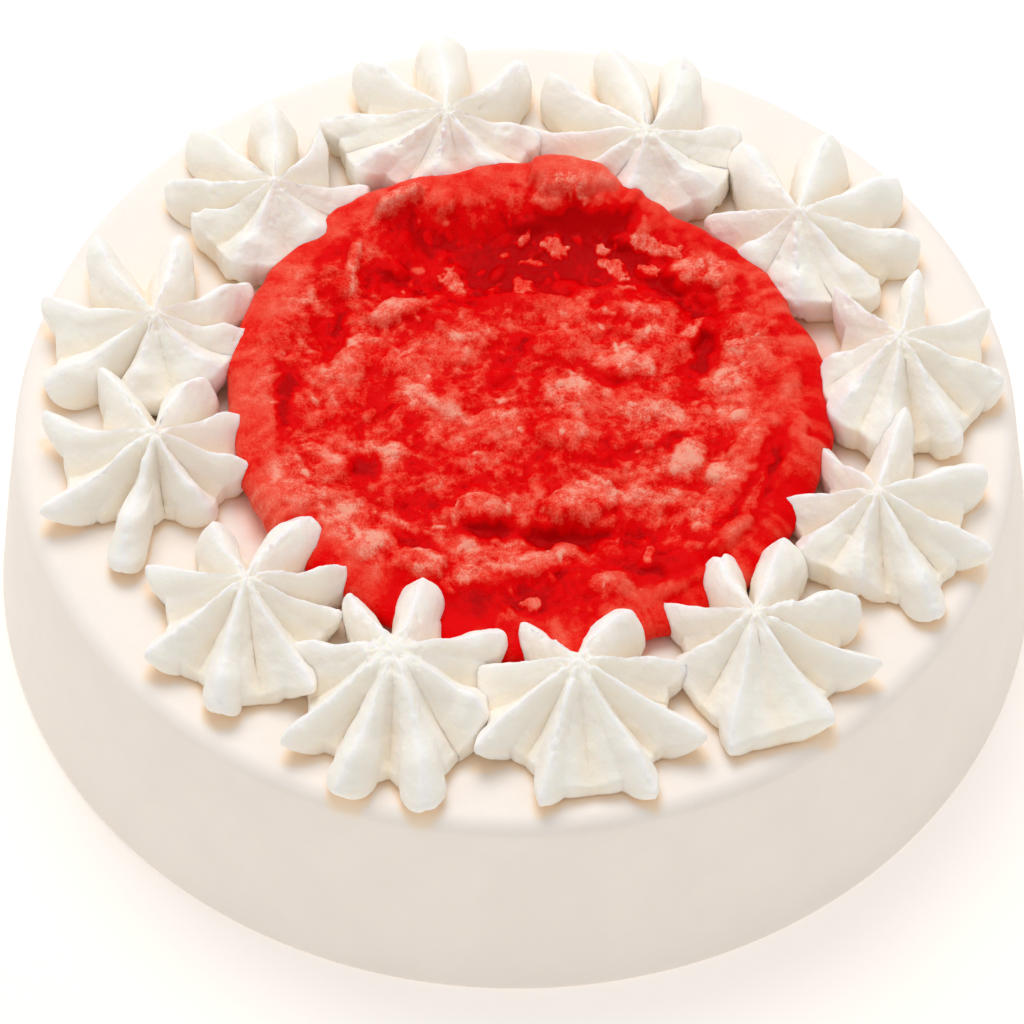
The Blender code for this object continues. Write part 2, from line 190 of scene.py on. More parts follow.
# Each rosette: bearing of its centre, distance of its centre from the cake's axis and
# radius of its nub in millimetres, the forms of its eight arms, how far out the cream hangs
# between each arm and the next in tenths of their reach, then the bearings and the reaches,
# in millimetres, of the arm tips.
ROSETTES = (
    (102.0, 51.5, 1.2, "flblffff", "65679999",
     (1, 50, 93, 135, 170, 208, 258, 315), (15, 19, 21, 20, 20, 16, 11, 13)),
    (66.5, 50.1, 1.8, "fbblpfff", "54678999",
     (22, 74, 104, 134, 158, 190, 245, 325), (16, 21, 23, 22, 21, 15, 11, 13)),
    (35.0, 52.2, 1.2, "lbbptffl", "65689987",
     (37, 74, 114, 160, 200, 268, 320, 358), (20, 20, 20, 15, 12, 13, 16, 19)),
    (5.5, 57.4, 1.7, "hddfffff", "56799888",
     (34, 76, 126, 178, 225, 262, 298, 348), (17, 17, 16, 12, 15, 16, 17, 16)),
    (336.0, 57.6, 1.3, "ldppfftp", "56689877",
     (30, 76, 119, 165, 207, 254, 298, 340), (19, 20, 17, 14, 13, 12, 18, 18)),
    (306.9, 56.9, 1.8, "lbsptepp", "66678977",
     (24, 74, 108, 150, 202, 261, 310, 346), (17, 18, 16, 15, 12, 18, 18, 19)),
    (279.2, 55.1, 2.4, "pbpppeep", "65687877",
     (17, 60, 124, 162, 214, 253, 304, 336), (17, 15, 15, 15, 18, 19, 20, 20)),
    (251.6, 55.4, 3.6, "fbpfpttf", "66677788",
     (29, 76, 114, 158, 214, 248, 283, 334), (18, 18, 17, 16, 19, 20, 21, 15)),
    (225.3, 55.3, 1.6, "pfblpptp", "76677787",
     (-4, 24, 60, 111, 154, 212, 257, 303), (14, 16, 18, 16, 17, 17, 18, 18)),
    (193.4, 54.6, 1.5, "fbdhpkff", "76675588",
     (33, 66, 118, 157, 210, 256, 310, 357), (15, 16, 18, 19, 19, 19, 12, 14)),
    (169.5, 54.9, 1.3, "ffddhttf", "75668799",
     (8, 37, 80, 120, 157, 206, 250, 328), (14, 18, 20, 21, 19, 18, 12, 12)),
    (135.7, 51.2, 1.2, "pdblffff", "65567999",
     (18, 66, 94, 128, 162, 188, 240, 325), (15, 17, 20, 21, 18, 13, 13, 12)),
)

# The compote lies inside the ring: highest at the back, where it runs up to the rosettes.
# Its outline is given as distances from its centre in millimetres, evenly spaced from +X.
COMPOTE_CENTRE = Vector((1.8 * MM, 0, 0))
COMPOTE_OUTLINE = (
    44.5, 44.8, 42.8, 43.4, 41.6, 41.6, 42.6, 45.2, 44.4, 44.4, 45.4, 46.2, 46.4, 46.2, 45.8, 45.4,
    44.6, 44.6, 45.0, 44.8, 44.8, 45.2, 45.8, 46.6, 47.2, 46.8, 46.4, 46.4, 46.6, 46.0, 45.0, 45.4,
)
COMPOTE_MEAN_RADIUS = 45.2 * MM
COMPOTE_BACK_RISE = 2.4 * MM
COMPOTE_RIM_SHARE = 0.84
COMPOTE_RIM_WIDTH = 0.11
COMPOTE_EDGE_ROUND = 3.2 * MM
COMPOTE_EDGE_DEGREES = (78, 64, 50, 36, 22, 8, -8, -24, -42, -60)
COMPOTE_WAVES = 0.6 * MM
COMPOTE_WAVE_LENGTH = 14 * MM
COMPOTE_EDGE_WAVES = 0.9 * MM
COMPOTE_CELLS = 284
COMPOTE_WARP = 1.2 * MM
COMPOTE_WARP_SPACING = 4 * MM
COMPOTE_GAP = 0.05 * MM
UNDERSIDE_SHARE = 0.98
SOFT_JOIN = 0.22 * MM

# Layers of unevenness in the compote, each with its share, spacing and seed: along its edge,
# of the fruit's outlines, of the clouds' and the shreds' edges, of its folds, and of the pale
# fruit under the gel.
EDGE_WAVES = ((1, 9 * MM, 5), (0.6, 9 * MM / 2.7, 27))
FRUIT_EDGES = ((0.25, 3.2 * MM, 6), (0.12, 1.2 * MM, 7))
CLOUD_EDGES = ((1, 3.0 * MM, 20), (0.5, 1.2 * MM, 21))
SHRED_EDGES = ((0.5, 1.6 * MM, 28), (0.45, 0.7 * MM, 29))
FLECK_EDGES = ((0.7, 1.1 * MM, 8),)
FOLDS = ((0.3, 3.6 * MM, 15), (0.25, 1.7 * MM, 18))
LUMP_SHARE = 0.8
LUMP_SPACING = 7.0 * MM
PALE_CLOUDS = ((1, 6.0 * MM, 16), (0.8, 2.6 * MM, 17), (0.45, 1.2 * MM, 19))

# Hollows in the compote: place, half length, half width and depth in millimetres. The first
# is the long one behind the middle.
HOLLOWS = (
    (1.0, 25.6, 21.5, 7.8, 2.4), (25.4, 13.0, 3.2, 7.5, 1.5), (3.0, -26.5, 8.0, 2.2, 1.3),
    (-6.0, -38.0, 9.0, 3.0, 0.7), (-30.0, 12.0, 3.0, 6.0, 0.8), (19.0, -24.0, 5.0, 3.5, 0.8),
    (25.0, 2.0, 3.0, 5.0, 0.9),
)

# Pieces of strawberry in the compote: place, half length, half width and rise in
# millimetres, the bearing of the long way, and how pale the flesh is, from 0 to 1.
PIECES = (
    (7.6, -20.6, 6.2, 3.9, 1.9, 4, 0.60), (-6.9, -21.8, 5.0, 3.0, 1.7, -5, 0.55),
    (-19.6, 34.6, 5.2, 1.5, 2.2, 32, 0.60), (-26.4, 23.6, 4.6, 1.3, 1.2, 82, 0.55),
    (24.3, 11.3, 3.4, 1.7, 1.1, 70, 0.60), (24.5, 23.3, 3.4, 2.7, 0.8, 30, 0.75),
    (29.3, 21.5, 2.8, 2.4, 0.8, -30, 0.60), (23.8, -12.4, 4.4, 3.0, 1.0, 60, 0.70),
    (28.5, -15.2, 2.8, 2.2, 0.9, 0, 0.60), (-35.7, -18.9, 4.8, 3.8, 0.9, -40, 0.70),
    (-33.9, -3.0, 4.0, 3.0, 0.8, 80, 0.40), (-29.2, -15.2, 3.8, 2.6, 0.9, 30, 0.40),
    (32.8, -12.0, 9.5, 2.9, 0.9, 69, 0.20), (39.2, -10.5, 6.5, 2.8, 0.9, 80, 0.20),
    (38.6, 2.0, 4.6, 2.6, 0.9, 95, 0.10), (29.5, -26.5, 5.0, 1.7, 0.9, 50, 0.15),
    (22.5, -34.5, 5.5, 1.8, 0.8, 28, 0.15), (-19.2, 15.5, 5.4, 2.6, 1.1, 20, 0.35),
    (-1.2, 17.1, 7.4, 2.4, 0.8, 0, 0.35), (10.8, 19.0, 5.4, 2.2, 0.8, -5, 0.35),
    (-26.6, 4.6, 4.8, 3.4, 0.9, 50, 0.35), (-13.1, -0.2, 5.6, 4.0, 0.8, -20, 0.40),
    (4.8, 8.4, 4.8, 3.8, 0.9, 0, 0.45), (13.7, 5.5, 4.4, 3.0, 1.0, 30, 0.65),
    (16.6, -2.1, 5.2, 3.6, 1.0, -10, 0.65), (-4.2, -5.9, 5.2, 3.8, 1.0, 15, 0.50),
    (4.7, -7.7, 4.6, 3.2, 1.0, -15, 0.65), (-23.1, -28.1, 4.2, 3.2, 1.0, 40, 0.60),
    (-15.8, -31.7, 4.4, 3.0, 1.0, 0, 0.50), (-1.2, -31.7, 5.6, 2.6, 0.8, 5, 0.45),
    (11.8, -35.3, 3.8, 2.4, 0.7, 0, 0.30), (22.0, -31.7, 3.8, 3.0, 0.8, 40, 0.35),
    (7.2, 40.4, 8.0, 4.6, 2.1, -4, 0.10),
)
PIECE_TILT = 0.16
PIECE_ROUNDNESS = 2.5
PIECE_STEEPNESS = 2.8

# Pale clouds of fruit under the gel, and pools where the gel is deep and dark, which also
# carry painted shade in hollows and under pieces of fruit. Each has its place, half length
# and half width in millimetres, bearing, and strength from 0 to 1.
CLOUDS = (
    (-11.0, 21.5, 3.4, 1.5, -58, 0.9), (-20.0, 33.8, 4.6, 1.4, 40, 0.8),
    (-24.7, 24.6, 2.6, 1.2, 65, 0.6), (-26.1, 18.8, 2.4, 1.0, 80, 0.6),
    (-25.7, 10.5, 3.4, 2.4, 80, 0.6), (-19.6, 15.9, 5.4, 1.5, 25, 0.6),
    (-20.6, 5.0, 3.6, 2.8, 20, 0.4), (-8.9, 11.2, 3.4, 2.2, 20, 0.6),
    (-16.7, -0.8, 3.2, 2.0, -50, 0.7), (-40.0, 3.0, 6.4, 2.0, 86, 0.5),
    (-34.5, 22.3, 2.6, 1.5, 40, 0.5), (-36.8, 18.4, 2.0, 1.4, 60, 0.5),
    (-32.2, 16.8, 2.4, 1.1, -50, 0.5), (-38.4, -10.6, 3.2, 1.5, -75, 0.6),
    (-34.7, -17.7, 5.0, 3.6, -50, 0.9), (-31.4, -11.0, 3.0, 0.8, -40, 0.5),
    (-21.0, -11.7, 3.8, 1.7, -8, 0.9), (-13.9, -16.2, 2.4, 1.5, 0, 0.7),
    (-9.7, -4.4, 2.4, 1.3, 20, 0.5), (-4.9, -4.0, 2.8, 1.3, -30, 0.7),
    (-6.1, -11.7, 3.8, 2.0, 40, 0.5), (-24.2, -27.1, 4.4, 2.2, -30, 0.8),
    (-22.9, -31.1, 2.6, 1.5, -40, 0.6), (-27.7, -22.7, 2.8, 1.3, 30, 0.6),
    (-19.4, -23.8, 3.6, 1.2, -40, 0.7), (-12.2, -24.1, 2.4, 1.6, 60, 0.5),
    (-8.7, -29.0, 3.2, 1.1, 10, 0.6), (-1.8, -27.8, 2.6, 1.2, 30, 0.6),
    (-8.9, -33.4, 3.4, 1.1, 25, 0.7), (-14.6, -32.7, 2.8, 1.4, 30, 0.6),
    (-2.7, -32.3, 4.4, 1.3, 0, 0.5), (-8.7, -19.2, 3.8, 0.9, 0, 0.6),
    (5.1, 37.7, 4.2, 1.2, 10, 0.4), (32.6, -9.0, 5.0, 1.6, 69, 0.35),
    (25.2, 23.1, 3.4, 2.4, -30, 0.7), (28.4, 23.5, 2.2, 1.6, 0, 0.5),
    (7.4, 17.8, 3.4, 1.6, 10, 0.5), (16.4, 16.2, 4.2, 1.3, -20, 0.6),
    (17.7, 11.4, 2.8, 1.3, 0, 0.6), (24.4, 11.8, 3.0, 0.9, 60, 0.8),
    (17.0, 5.8, 3.6, 2.4, -20, 0.7), (29.9, 8.3, 2.0, 1.2, 0, 0.6), (29.5, 2.4, 3.4, 2.4, 0, 0.6),
    (6.4, -0.1, 4.6, 2.5, 15, 0.8), (21.1, 2.0, 2.4, 1.4, 80, 0.6),
    (18.1, -4.6, 4.4, 2.8, 20, 0.8), (22.8, -12.7, 3.8, 2.4, 30, 0.9),
    (28.3, -13.8, 2.2, 1.6, 70, 0.7), (29.5, -9.9, 2.2, 1.1, 0, 0.5),
    (7.6, -20.3, 4.2, 2.4, 0, 0.5), (11.7, -17.9, 2.8, 0.7, -40, 0.8),
    (18.5, -18.8, 3.2, 1.8, 0, 0.5), (25.3, -23.0, 2.6, 1.6, 80, 0.7),
    (3.3, -29.3, 2.8, 1.2, 0, 0.5), (16.6, -29.8, 2.2, 0.8, 75, 0.6),
    (21.0, -26.7, 1.6, 0.9, 0, 0.6), (-3.0, -40.6, 2.4, 1.1, 0, 0.6),
    (27.0, -17.8, 2.4, 1.2, 30, 0.4),
)
POOLS_AND_SHADE = (
    (-6.3, -25.4, 4.6, 1.4, 0, 1.0), (4.4, -25.8, 7.6, 1.3, -3, 1.0),
    (25.9, 7.0, 3.6, 1.7, 75, 0.9), (12.6, 2.8, 3.6, 1.5, -10, 0.6),
    (23.6, 17.8, 3.4, 1.1, -35, 0.7), (10.2, 17.6, 1.6, 1.0, 90, 0.7),
    (0.8, -37.6, 6.0, 3.0, 0, 0.8), (-8.5, -39.0, 6.0, 3.8, 0, 0.9),
    (18.3, -26.3, 5.6, 2.0, 0, 0.6), (3.3, -33.4, 3.2, 1.3, 0, 0.5),
    (1.0, 25.8, 19.0, 7.0, 0, 1.0), (-14.5, 29.3, 6.0, 3.8, 0, 0.9),
    (6.0, 32.0, 11.0, 2.2, 0, 1.3), (-19.0, 23.5, 4.2, 2.6, 0, 0.8),
    (-9.0, 17.6, 7.0, 1.2, 0, 0.7), (20.5, 21.0, 3.0, 2.2, -40, 1.0),
    (25.8, 13.0, 5.0, 1.8, 85, 1.0), (36.2, -14.0, 7.5, 0.9, 74, 1.0),
    (-27.9, 13.0, 3.2, 0.9, 86, 0.9), (-36.1, -2.0, 6.5, 1.0, 88, 0.9),
    (-24.8, -13.8, 2.4, 1.8, 0, 0.9), (-15.9, -20.3, 3.0, 1.8, 0, 0.6),
    (-16.6, -27.6, 2.6, 1.6, 0, 0.6), (25.0, -31.0, 4.0, 1.4, 30, 0.6),
    (33.5, -15.5, 9.0, 0.8, 66, 0.9), (18.5, -31.5, 5.0, 3.2, 0, 1.0),
    (0.0, 9.6, 4.0, 1.1, 0, 0.5), (-4.0, 2.4, 3.2, 1.1, 20, 0.5),
    (14.6, -12.0, 3.4, 1.2, 25, 0.6), (-29.6, 25.8, 4.0, 1.2, 50, 0.5),
    (21.5, -8.4, 2.6, 0.9, 40, 0.6),
)
CLOUD_RISE = 0.35 * MM
POOL_DEPTH = 0.5 * MM

# Smooth gel painted bright, as painted light: the hump at the back, and the slope and a
# ridge on the right.
CALM_AND_LIT = (
    (7.0, 40.5, 9.0, 4.6, -4, 1.0), (-9.0, 38.4, 8.0, 3.4, 14, 0.9),
    (37.5, -2.0, 4.0, 8.0, 0, 0.8), (33.0, -12.0, 9.0, 2.4, 69, 0.6),
)
CLOUD_WARP = 1.3 * MM

# Torn shreds of pale fruit that lie bare, most of them in the long hollow: place, half length
# and half width in millimetres, bearing and how pale they are.
SHREDS = (
    (-0.4, 30.3, 1.3, 0.7, 70, 0.9), (4.2, 29.0, 2.3, 1.5, -35, 1.0),
    (11.3, 28.8, 1.5, 1.2, 20, 1.0), (12.6, 25.4, 2.6, 1.5, -50, 1.0),
    (15.2, 21.2, 1.5, 0.9, -30, 0.9), (19.6, 27.6, 4.6, 1.2, -22, 0.9),
    (18.7, 24.0, 1.9, 0.9, -15, 0.9), (1.0, 26.3, 2.0, 0.7, -10, 0.8),
    (-1.0, 21.6, 1.5, 2.4, 10, 0.8), (-3.6, 27.6, 1.1, 0.6, 30, 0.7),
    (6.6, 36.8, 3.0, 1.2, -25, 0.8), (-11.6, 22.6, 1.5, 2.9, 25, 0.8),
    (24.6, 12.0, 2.6, 1.0, 62, 0.9), (28.2, 23.4, 2.6, 1.6, -30, 0.7),
    (-18.6, 35.6, 3.4, 0.7, 30, 0.8), (8.6, -17.6, 2.4, 0.6, -20, 0.9),
    (12.2, -18.8, 0.7, 1.9, 10, 0.8), (17.5, -30.0, 0.7, 2.2, -10, 0.7),
    (0.6, -38.4, 1.8, 1.1, 10, 0.9), (-26.4, 20.6, 0.8, 2.2, 10, 0.7),
    (31.0, 8.8, 1.6, 1.0, 0, 0.6),
)
SHRED_WARP = 0.8 * MM
SHRED_WARP_SPACING = 2.2 * MM
SHRED_RISE = 0.45 * MM

# Bits of fruit, too small to place one by one, and thin pale flecks, more of them in the long
# hollow: how many, the share of the compote's radius that they reach, their half lengths and
# how far they rise in millimetres, how slender they are, and how pale.
BIT_COUNT = 110
BIT_REACH = 0.9
BIT_HALF_LENGTHS = (1.0, 2.6)
BIT_SLENDERNESS = (0.45, 0.9)
BIT_RISES = (0.15, 0.6)
BIT_PALENESS = (0, 0.8)
BIT_SEED = 12
FLECK_COUNT = 110
FLECK_REACH = 0.84
FLECK_HALF_LENGTHS = (0.4, 1.3)
FLECK_SLENDERNESS = (0.3, 0.7)
FLECK_RISE = 0.2 * MM
FLECK_PALENESS = (0.3, 1.0)
FLECK_HOLLOW_SHARE = 0.3
FLECK_SEED = 31
GOLDEN_ANGLE = math.pi * (3 - math.sqrt(5))

# A place is proud by how far it stands over the mean of what lies round it. The mean is
# spread out in passes. Proud places are painted paler, as painted light on high spots.
SPREAD_PASSES = 60
PROUD_HEIGHT = 0.3 * MM

# How pale the compote is, from 0 for deep gel to 1 for the palest flesh: its level, and what
# each thing adds to it, with painted shade in the pools and painted light on high places. How
# coarse it is comes about in the same way. Then how pale the rim is painted where light falls
# on it, where it lies, and where it is lit most, in bearings.
PALENESS = 0.46
PALER = {
    "cloudy": 0.26, "clouds": 0.36, "pools_and_shade": -0.46, "flesh": 0.10, "flecks": 0.34, "proud": 0.12,
}
BARE_PALENESS = 0.79
COARSENESS = 0.75
COARSER = {"clouds": 0.5, "bare": 0.7, "calm": -0.4, "pools_and_shade": -0.45}
LIT_RIM_PALENESS = 0.63
RIM_SHARES = (0.87, 0.97)
RIM_LIGHT = 160.0
RIM_LIGHT_WIDTH = 85.0
RIM_LIGHT_LOW = 0.3

# The studio: what the light and the camera aim at, how far the camera looks past it to the
# side and upward, and where the light hangs.
CAMERA_AIM = Vector((0, 0, 18 * MM))
CAMERA_SIDE_AIM = -0.62 * MM
CAMERA_UP_AIM = -3.5 * MM
SENSOR_WIDTH = 36.0
CLIP_RANGE = (0.05, 60.0)
OVERHEAD_PLACE = (-0.14, 0.5, 1.1)
OVERHEAD_SIZE = 0.7
FLOOR_HALF_SIZE = 12.0


# --- Settings ------------------------------------------------------------------------


def length(name, description, default):
    return FloatProperty(
        name=name, description=description, default=default, min=0.0, unit="LENGTH", precision=5
    )


def share(name, description, default):
    return FloatProperty(
        name=name, description=description, default=default, min=0.0, max=1.0, subtype="FACTOR"
    )


def colour(name, description, default):
    return FloatVectorProperty(
        name=name, description=description, default=default, size=3, min=0.0, max=1.0,
        subtype="COLOR",
    )


class CakeCoat(bpy.types.PropertyGroup):
    """The smooth coat of cream."""

    edge_round: length("Edge", "How far the rim of the top is rounded", 2.7 * MM)
    foot_round: length("Foot", "How far the edge of the underside is rounded", 1.2 * MM)
    waves: length("Waves", "How far the spread cream is uneven", 0.22 * MM)
    strokes: length("Strokes", "How deep the strokes of the spatula are", 0.05 * MM)
    cream: colour("Cream", "Colour of the cream", (0.953, 0.881, 0.797))
    # Painted shade on the coat round and under the rosettes: its colour, and how far it reaches
    # past them.
    crease: colour("Crease", "Colour of the cream close under the rosettes", (0.99, 0.80, 0.60))
    painted_shade_reach: length("Crease reach", "How far the warm colour reaches past them", 0.8 * MM)
    # Partly the stain of the compote's juice and partly painted shade next to the compote.
    juice: colour("Juice", "Colour that the compote's juice gives the cream", (0.93, 0.46, 0.31))


class CakeRosettes(bpy.types.PropertyGroup):
    """The ring of piped rosettes."""

    waves: length("Waves", "How far the piped cream is uneven", 0.36 * MM)
    crumple: length("Crumple", "How far the crests are ragged", 0.6 * MM)
    streaks: length("Streaks", "Depth of the lines that the star tip leaves", 0.07 * MM)
    torn_nub: length("Torn nub", "How rough the nub is where the tip was pulled off", 0.75 * MM)
    crumbs: length("Crumbs", "Height of the crumbs below the nub", 0.38 * MM)
    pit_depth: length("Pits", "Depth of the small pits from air in the cream", 0.5 * MM)
    cream: colour("Cream", "Colour of the piped cream", (0.99, 0.945, 0.875))
    # Painted shade between the arms, under them and faintly on the flanks, so that the crests look
    # lighter.
    crease: colour("Crease", "Colour deep between the arms", (0.99, 0.80, 0.58))


class CakeCompote(bpy.types.PropertyGroup):
    """The strawberry compote."""

    middle_height: length("Height", "Height of its middle over the cake", 5.6 * MM)
    rim_rise: length("Rim", "How far the smooth rim stands up", 1.2 * MM)
    lumps: length("Lumps", "How uneven the gel is over the fruit in it", 0.8 * MM)
    fibres: length("Fibres", "How rough the cut fruit is", 0.16 * MM)
    # The darkest colour: deep gel, together with painted shade in the hollows and under the fruit.
    deep_and_shade: colour("Deep", "Colour of the hollows", (0.50, 0.0, 0.001))
    gel: colour("Gel", "Colour of the clear red gel", (0.78, 0.0, 0.001))
    bright: colour("Bright", "Colour where the gel is thin over fruit", (0.84, 0.024, 0.012))
    flesh: colour("Flesh", "Colour of the fruit's flesh", (0.90, 0.11, 0.065))
    pale: colour("Pale", "Colour of the palest fibres", (0.93, 0.37, 0.26))


class CakeStudio(bpy.types.PropertyGroup):
    """Floor, lights and camera."""

    elevation: FloatProperty(
        name="Elevation", description="How far the camera looks down",
        default=math.radians(52.6), subtype="ANGLE",
    )
    distance: length("Distance", "From the camera to the cake", 0.9)
    lens: FloatProperty(
        name="Lens", description="Focal length in millimetres", default=208.2, min=10.0
    )
    daylight: colour("Light", "Colour of the light", (0.972, 0.968, 1.0))
    sky: FloatProperty(name="Sky", description="Strength of the even light", default=0.655, min=0.0)
    key: FloatProperty(
        name="Key", description="Power of the large overhead light", default=6.7, min=0.0,
        unit="POWER",
    )
    floor_glow: share("Floor glow", "Light that the pale floor gives by itself", 0.42)
    floor: colour("Floor", "Colour of the floor", (0.70, 0.645, 0.57))


# --- Shaping -------------------------------------------------------------------------


def mix(start, stop, part):
    return start + (stop - start) * part


def smooth(part):
    """Eases a share from 0 to 1, level at both ends."""
    part = np.clip(part, 0, 1)
    return part * part * (3 - 2 * part)


def smooth_between(value, low, high):
    return smooth((value - low) / (high - low))


def bump(value, centre, width):
    return np.exp(-(((value - centre) / width) ** 2))


def rough(points, spacing, seed):
    """Smooth random values from about -1 to 1 in space, one for each point."""
    scaled = np.asarray(points) / np.asarray(spacing) + 13.7 * seed
    values = [noise.noise(point) for point in scaled.reshape(-1, 3).tolist()]
    return np.array(values).reshape(scaled.shape[:-1])


def layered(points, layers, seed=0):
    """Several layers of roughness, each with its share, spacing and seed."""
    return sum(part * rough(points, spacing, seed + own) for part, spacing, own in layers)


def grid_normals(rings):
    """Outward directions at the points of rings that run anticlockwise and outward."""
    outward = np.gradient(rings, axis=0)
    around = np.roll(rings, -1, axis=1) - np.roll(rings, 1, axis=1)
    normals = np.cross(outward, around)
    return normals / np.maximum(np.linalg.norm(normals, axis=-1, keepdims=True), 1e-12)


def ring_faces(rows, columns):
    """Quads between rings of points, first to last."""
    index = np.arange(rows * columns).reshape(rows, columns)
    following = np.roll(index, -1, axis=1)
    quads = np.stack([index[:-1], index[1:], following[1:], following[:-1]], axis=-1)
    return quads.reshape(-1, 4).tolist()


def closed_mesh(name, rings, top, bottom):
    """A closed mesh through rings of points, first to last, between two end points."""
    rows, columns, _ = rings.shape
    count = rows * columns
    points = np.concatenate([rings.reshape(-1, 3), [top, bottom]])
    first = [(count, i, (i + 1) % columns) for i in range(columns)]
    start = count - columns
    last = [(count + 1, start + (i + 1) % columns, start + i) for i in range(columns)]
    mesh = bpy.data.meshes.new(name)
    mesh.from_pydata(points.tolist(), [], ring_faces(rows, columns) + first + last)
    mesh.shade_smooth()
    return mesh


def add_piece(name, mesh, material, location=(0, 0, 0)):
    """Puts a mesh in the scene in place of the node of the same name."""
    mesh.materials.append(material)
    piece = bpy.data.objects.new(f"{name}_shown", mesh)
    piece.location = location
    bpy.context.scene.collection.objects.link(piece)
    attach(piece, BODY)
    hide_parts(name)
    return piece


def add_values(mesh, name, values):
    """Keeps one number for each point, for the material to read."""
    layer = mesh.attributes.new(name, "FLOAT", "POINT")
    layer.data.foreach_set("value", np.asarray(values, np.float32))


# --- Materials -----------------------------------------------------------------------


def fill_inputs(tree, sockets, values):
    """Sets sockets to values, or joins them to other sockets."""
    for name, value in values.items():
        if isinstance(value, bpy.types.NodeSocket):
            tree.links.new(value, sockets[name])
        else:
            sockets[name].default_value = value


def add_node(tree, kind, inputs=None, **settings):
    """Adds a node with its settings, and its inputs set to values or joined to sockets."""
    node = tree.nodes.new(kind)
    for name, value in settings.items():
        setattr(node, name, value)
    fill_inputs(tree, node.inputs, inputs or {})
    return node


def new_material(name):
    """A material with nodes: itself, its tree and its shader."""
    material = bpy.data.materials.new(name)
    material.use_nodes = True
    return material, material.node_tree, material.node_tree.nodes["Principled BSDF"]


def from_mesh(tree, name):
    """Numbers that the mesh keeps at its points."""
    return add_node(tree, "ShaderNodeAttribute", attribute_name=name).outputs["Fac"]


def add_maths(tree, operation, first, second=0.0):
    node = add_node(tree, "ShaderNodeMath", {0: first, 1: second}, operation=operation)
    return node.outputs[0]


def add_range(tree, value, low, high):
    """Maps a value to 0 at low and 1 at high, and eases it in between."""
    inputs = {"Value": value, "From Min": low, "From Max": high}
    node = add_node(tree, "ShaderNodeMapRange", inputs, interpolation_type="SMOOTHSTEP")
    return node.outputs["Result"]


def add_blend(tree, part, first, second):
    """Blends two colours by a share."""
    node = add_node(tree, "ShaderNodeMix", data_type="RGBA")
    sockets = {socket.identifier: socket for socket in node.inputs}
    fill_inputs(tree, sockets, {"Factor_Float": part, "A_Color": first, "B_Color": second})
    return next(socket for socket in node.outputs if socket.identifier == "Result_Color")


def add_noise(tree, place, spacing, detail=2.0, roughness=0.5):
    """Noise from 0 to 1 whose lumps are a spacing apart, in metres."""
    inputs = {"Vector": place, "Scale": 1 / spacing, "Detail": detail, "Roughness": roughness}
    return add_node(tree, "ShaderNodeTexNoise", inputs).outputs["Fac"]


def new_group(name, inputs, outputs):
    """A shader node group with named numbers or colours going in and out."""
    group = bpy.data.node_groups.new(name, "ShaderNodeTree")
    for label, kind, default in inputs:
        socket = group.interface.new_socket(label, in_out="INPUT", socket_type=kind)
        socket.default_value = default
    for label, kind in outputs:
        group.interface.new_socket(label, in_out="OUTPUT", socket_type=kind)
    return group, group.nodes.new("NodeGroupInput"), group.nodes.new("NodeGroupOutput")


def cream_grain_group():
    """Fine unevenness of whipped cream: its height, and a tone that varies over it."""
    group = bpy.data.node_groups.get("cream_grain")
    if group is not None:
        return group
    group, given, result = new_group(
        "cream_grain",
        [("Grain Size", "NodeSocketFloat", 0.6 * MM), ("Patch Size", "NodeSocketFloat", 9 * MM)],
        [("Height", "NodeSocketFloat"), ("Tone", "NodeSocketFloat")],
    )
    place = group.nodes.new("ShaderNodeNewGeometry").outputs["Position"]
    fine_scale = add_maths(group, "DIVIDE", 1.0, given.outputs["Grain Size"])
    patch_scale = add_maths(group, "DIVIDE", 1.0, given.outputs["Patch Size"])
    fine = add_node(
        group, "ShaderNodeTexNoise", {"Vector": place, "Scale": fine_scale, "Detail": 3.0}
    )
    patch = add_node(
        group, "ShaderNodeTexNoise", {"Vector": place, "Scale": patch_scale, "Detail": 2.0}
    )
    group.links.new(fine.outputs["Fac"], result.inputs["Height"])
    tone = add_range(group, patch.outputs["Fac"], 0.3, 0.7)
    group.links.new(tone, result.inputs["Tone"])
    return group


def juice_and_shade_group():
    """Where the compote's juice tints the cream, together with painted shade near the compote:
    strongest at its edge, fading outward.
    """
    group = bpy.data.node_groups.get("juice_stain")
    if group is not None:
        return group
    group, given, result = new_group(
        "juice_stain",
        [("Reach", "NodeSocketFloat", 3 * MM), ("Strength", "NodeSocketFloat", 0.3)],
        [("Stain", "NodeSocketFloat")],
    )
    place = group.nodes.new("ShaderNodeNewGeometry").outputs["Position"]
    from_centre = add_node(
        group, "ShaderNodeVectorMath",
        {0: place, 1: (-COMPOTE_CENTRE.x, -COMPOTE_CENTRE.y, 0.0)}, operation="ADD",
    )
    flat = add_node(
        group, "ShaderNodeVectorMath",
        {0: from_centre.outputs[0], 1: (1.0, 1.0, 0.0)}, operation="MULTIPLY",
    )
    distance = add_node(
        group, "ShaderNodeVectorMath", {0: flat.outputs[0]}, operation="LENGTH"
    ).outputs["Value"]
    ragged = add_maths(group, "MULTIPLY", add_noise(group, place, 3 * MM), 3 * MM)
    edge = add_maths(group, "ADD", ragged, COMPOTE_MEAN_RADIUS - 1 * MM)
    past = add_maths(group, "SUBTRACT", distance, edge)
    scaled = add_maths(group, "DIVIDE", past, given.outputs["Reach"])
    height = add_node(group, "ShaderNodeSeparateXYZ", {0: place}).outputs["Z"]
    low = add_range(group, height, CAKE_HEIGHT + 5 * MM, CAKE_HEIGHT + 1 * MM)
    fade = add_maths(group, "MULTIPLY", add_range(group, scaled, 1.0, -0.5), low)
    stain_and_shade = add_maths(group, "MULTIPLY", fade, given.outputs["Strength"])
    group.links.new(stain_and_shade, result.inputs["Stain"])
    return group


def with_alpha(rgb, factor=1.0):
    return (*(min(1.0, value * factor) for value in rgb), 1.0)


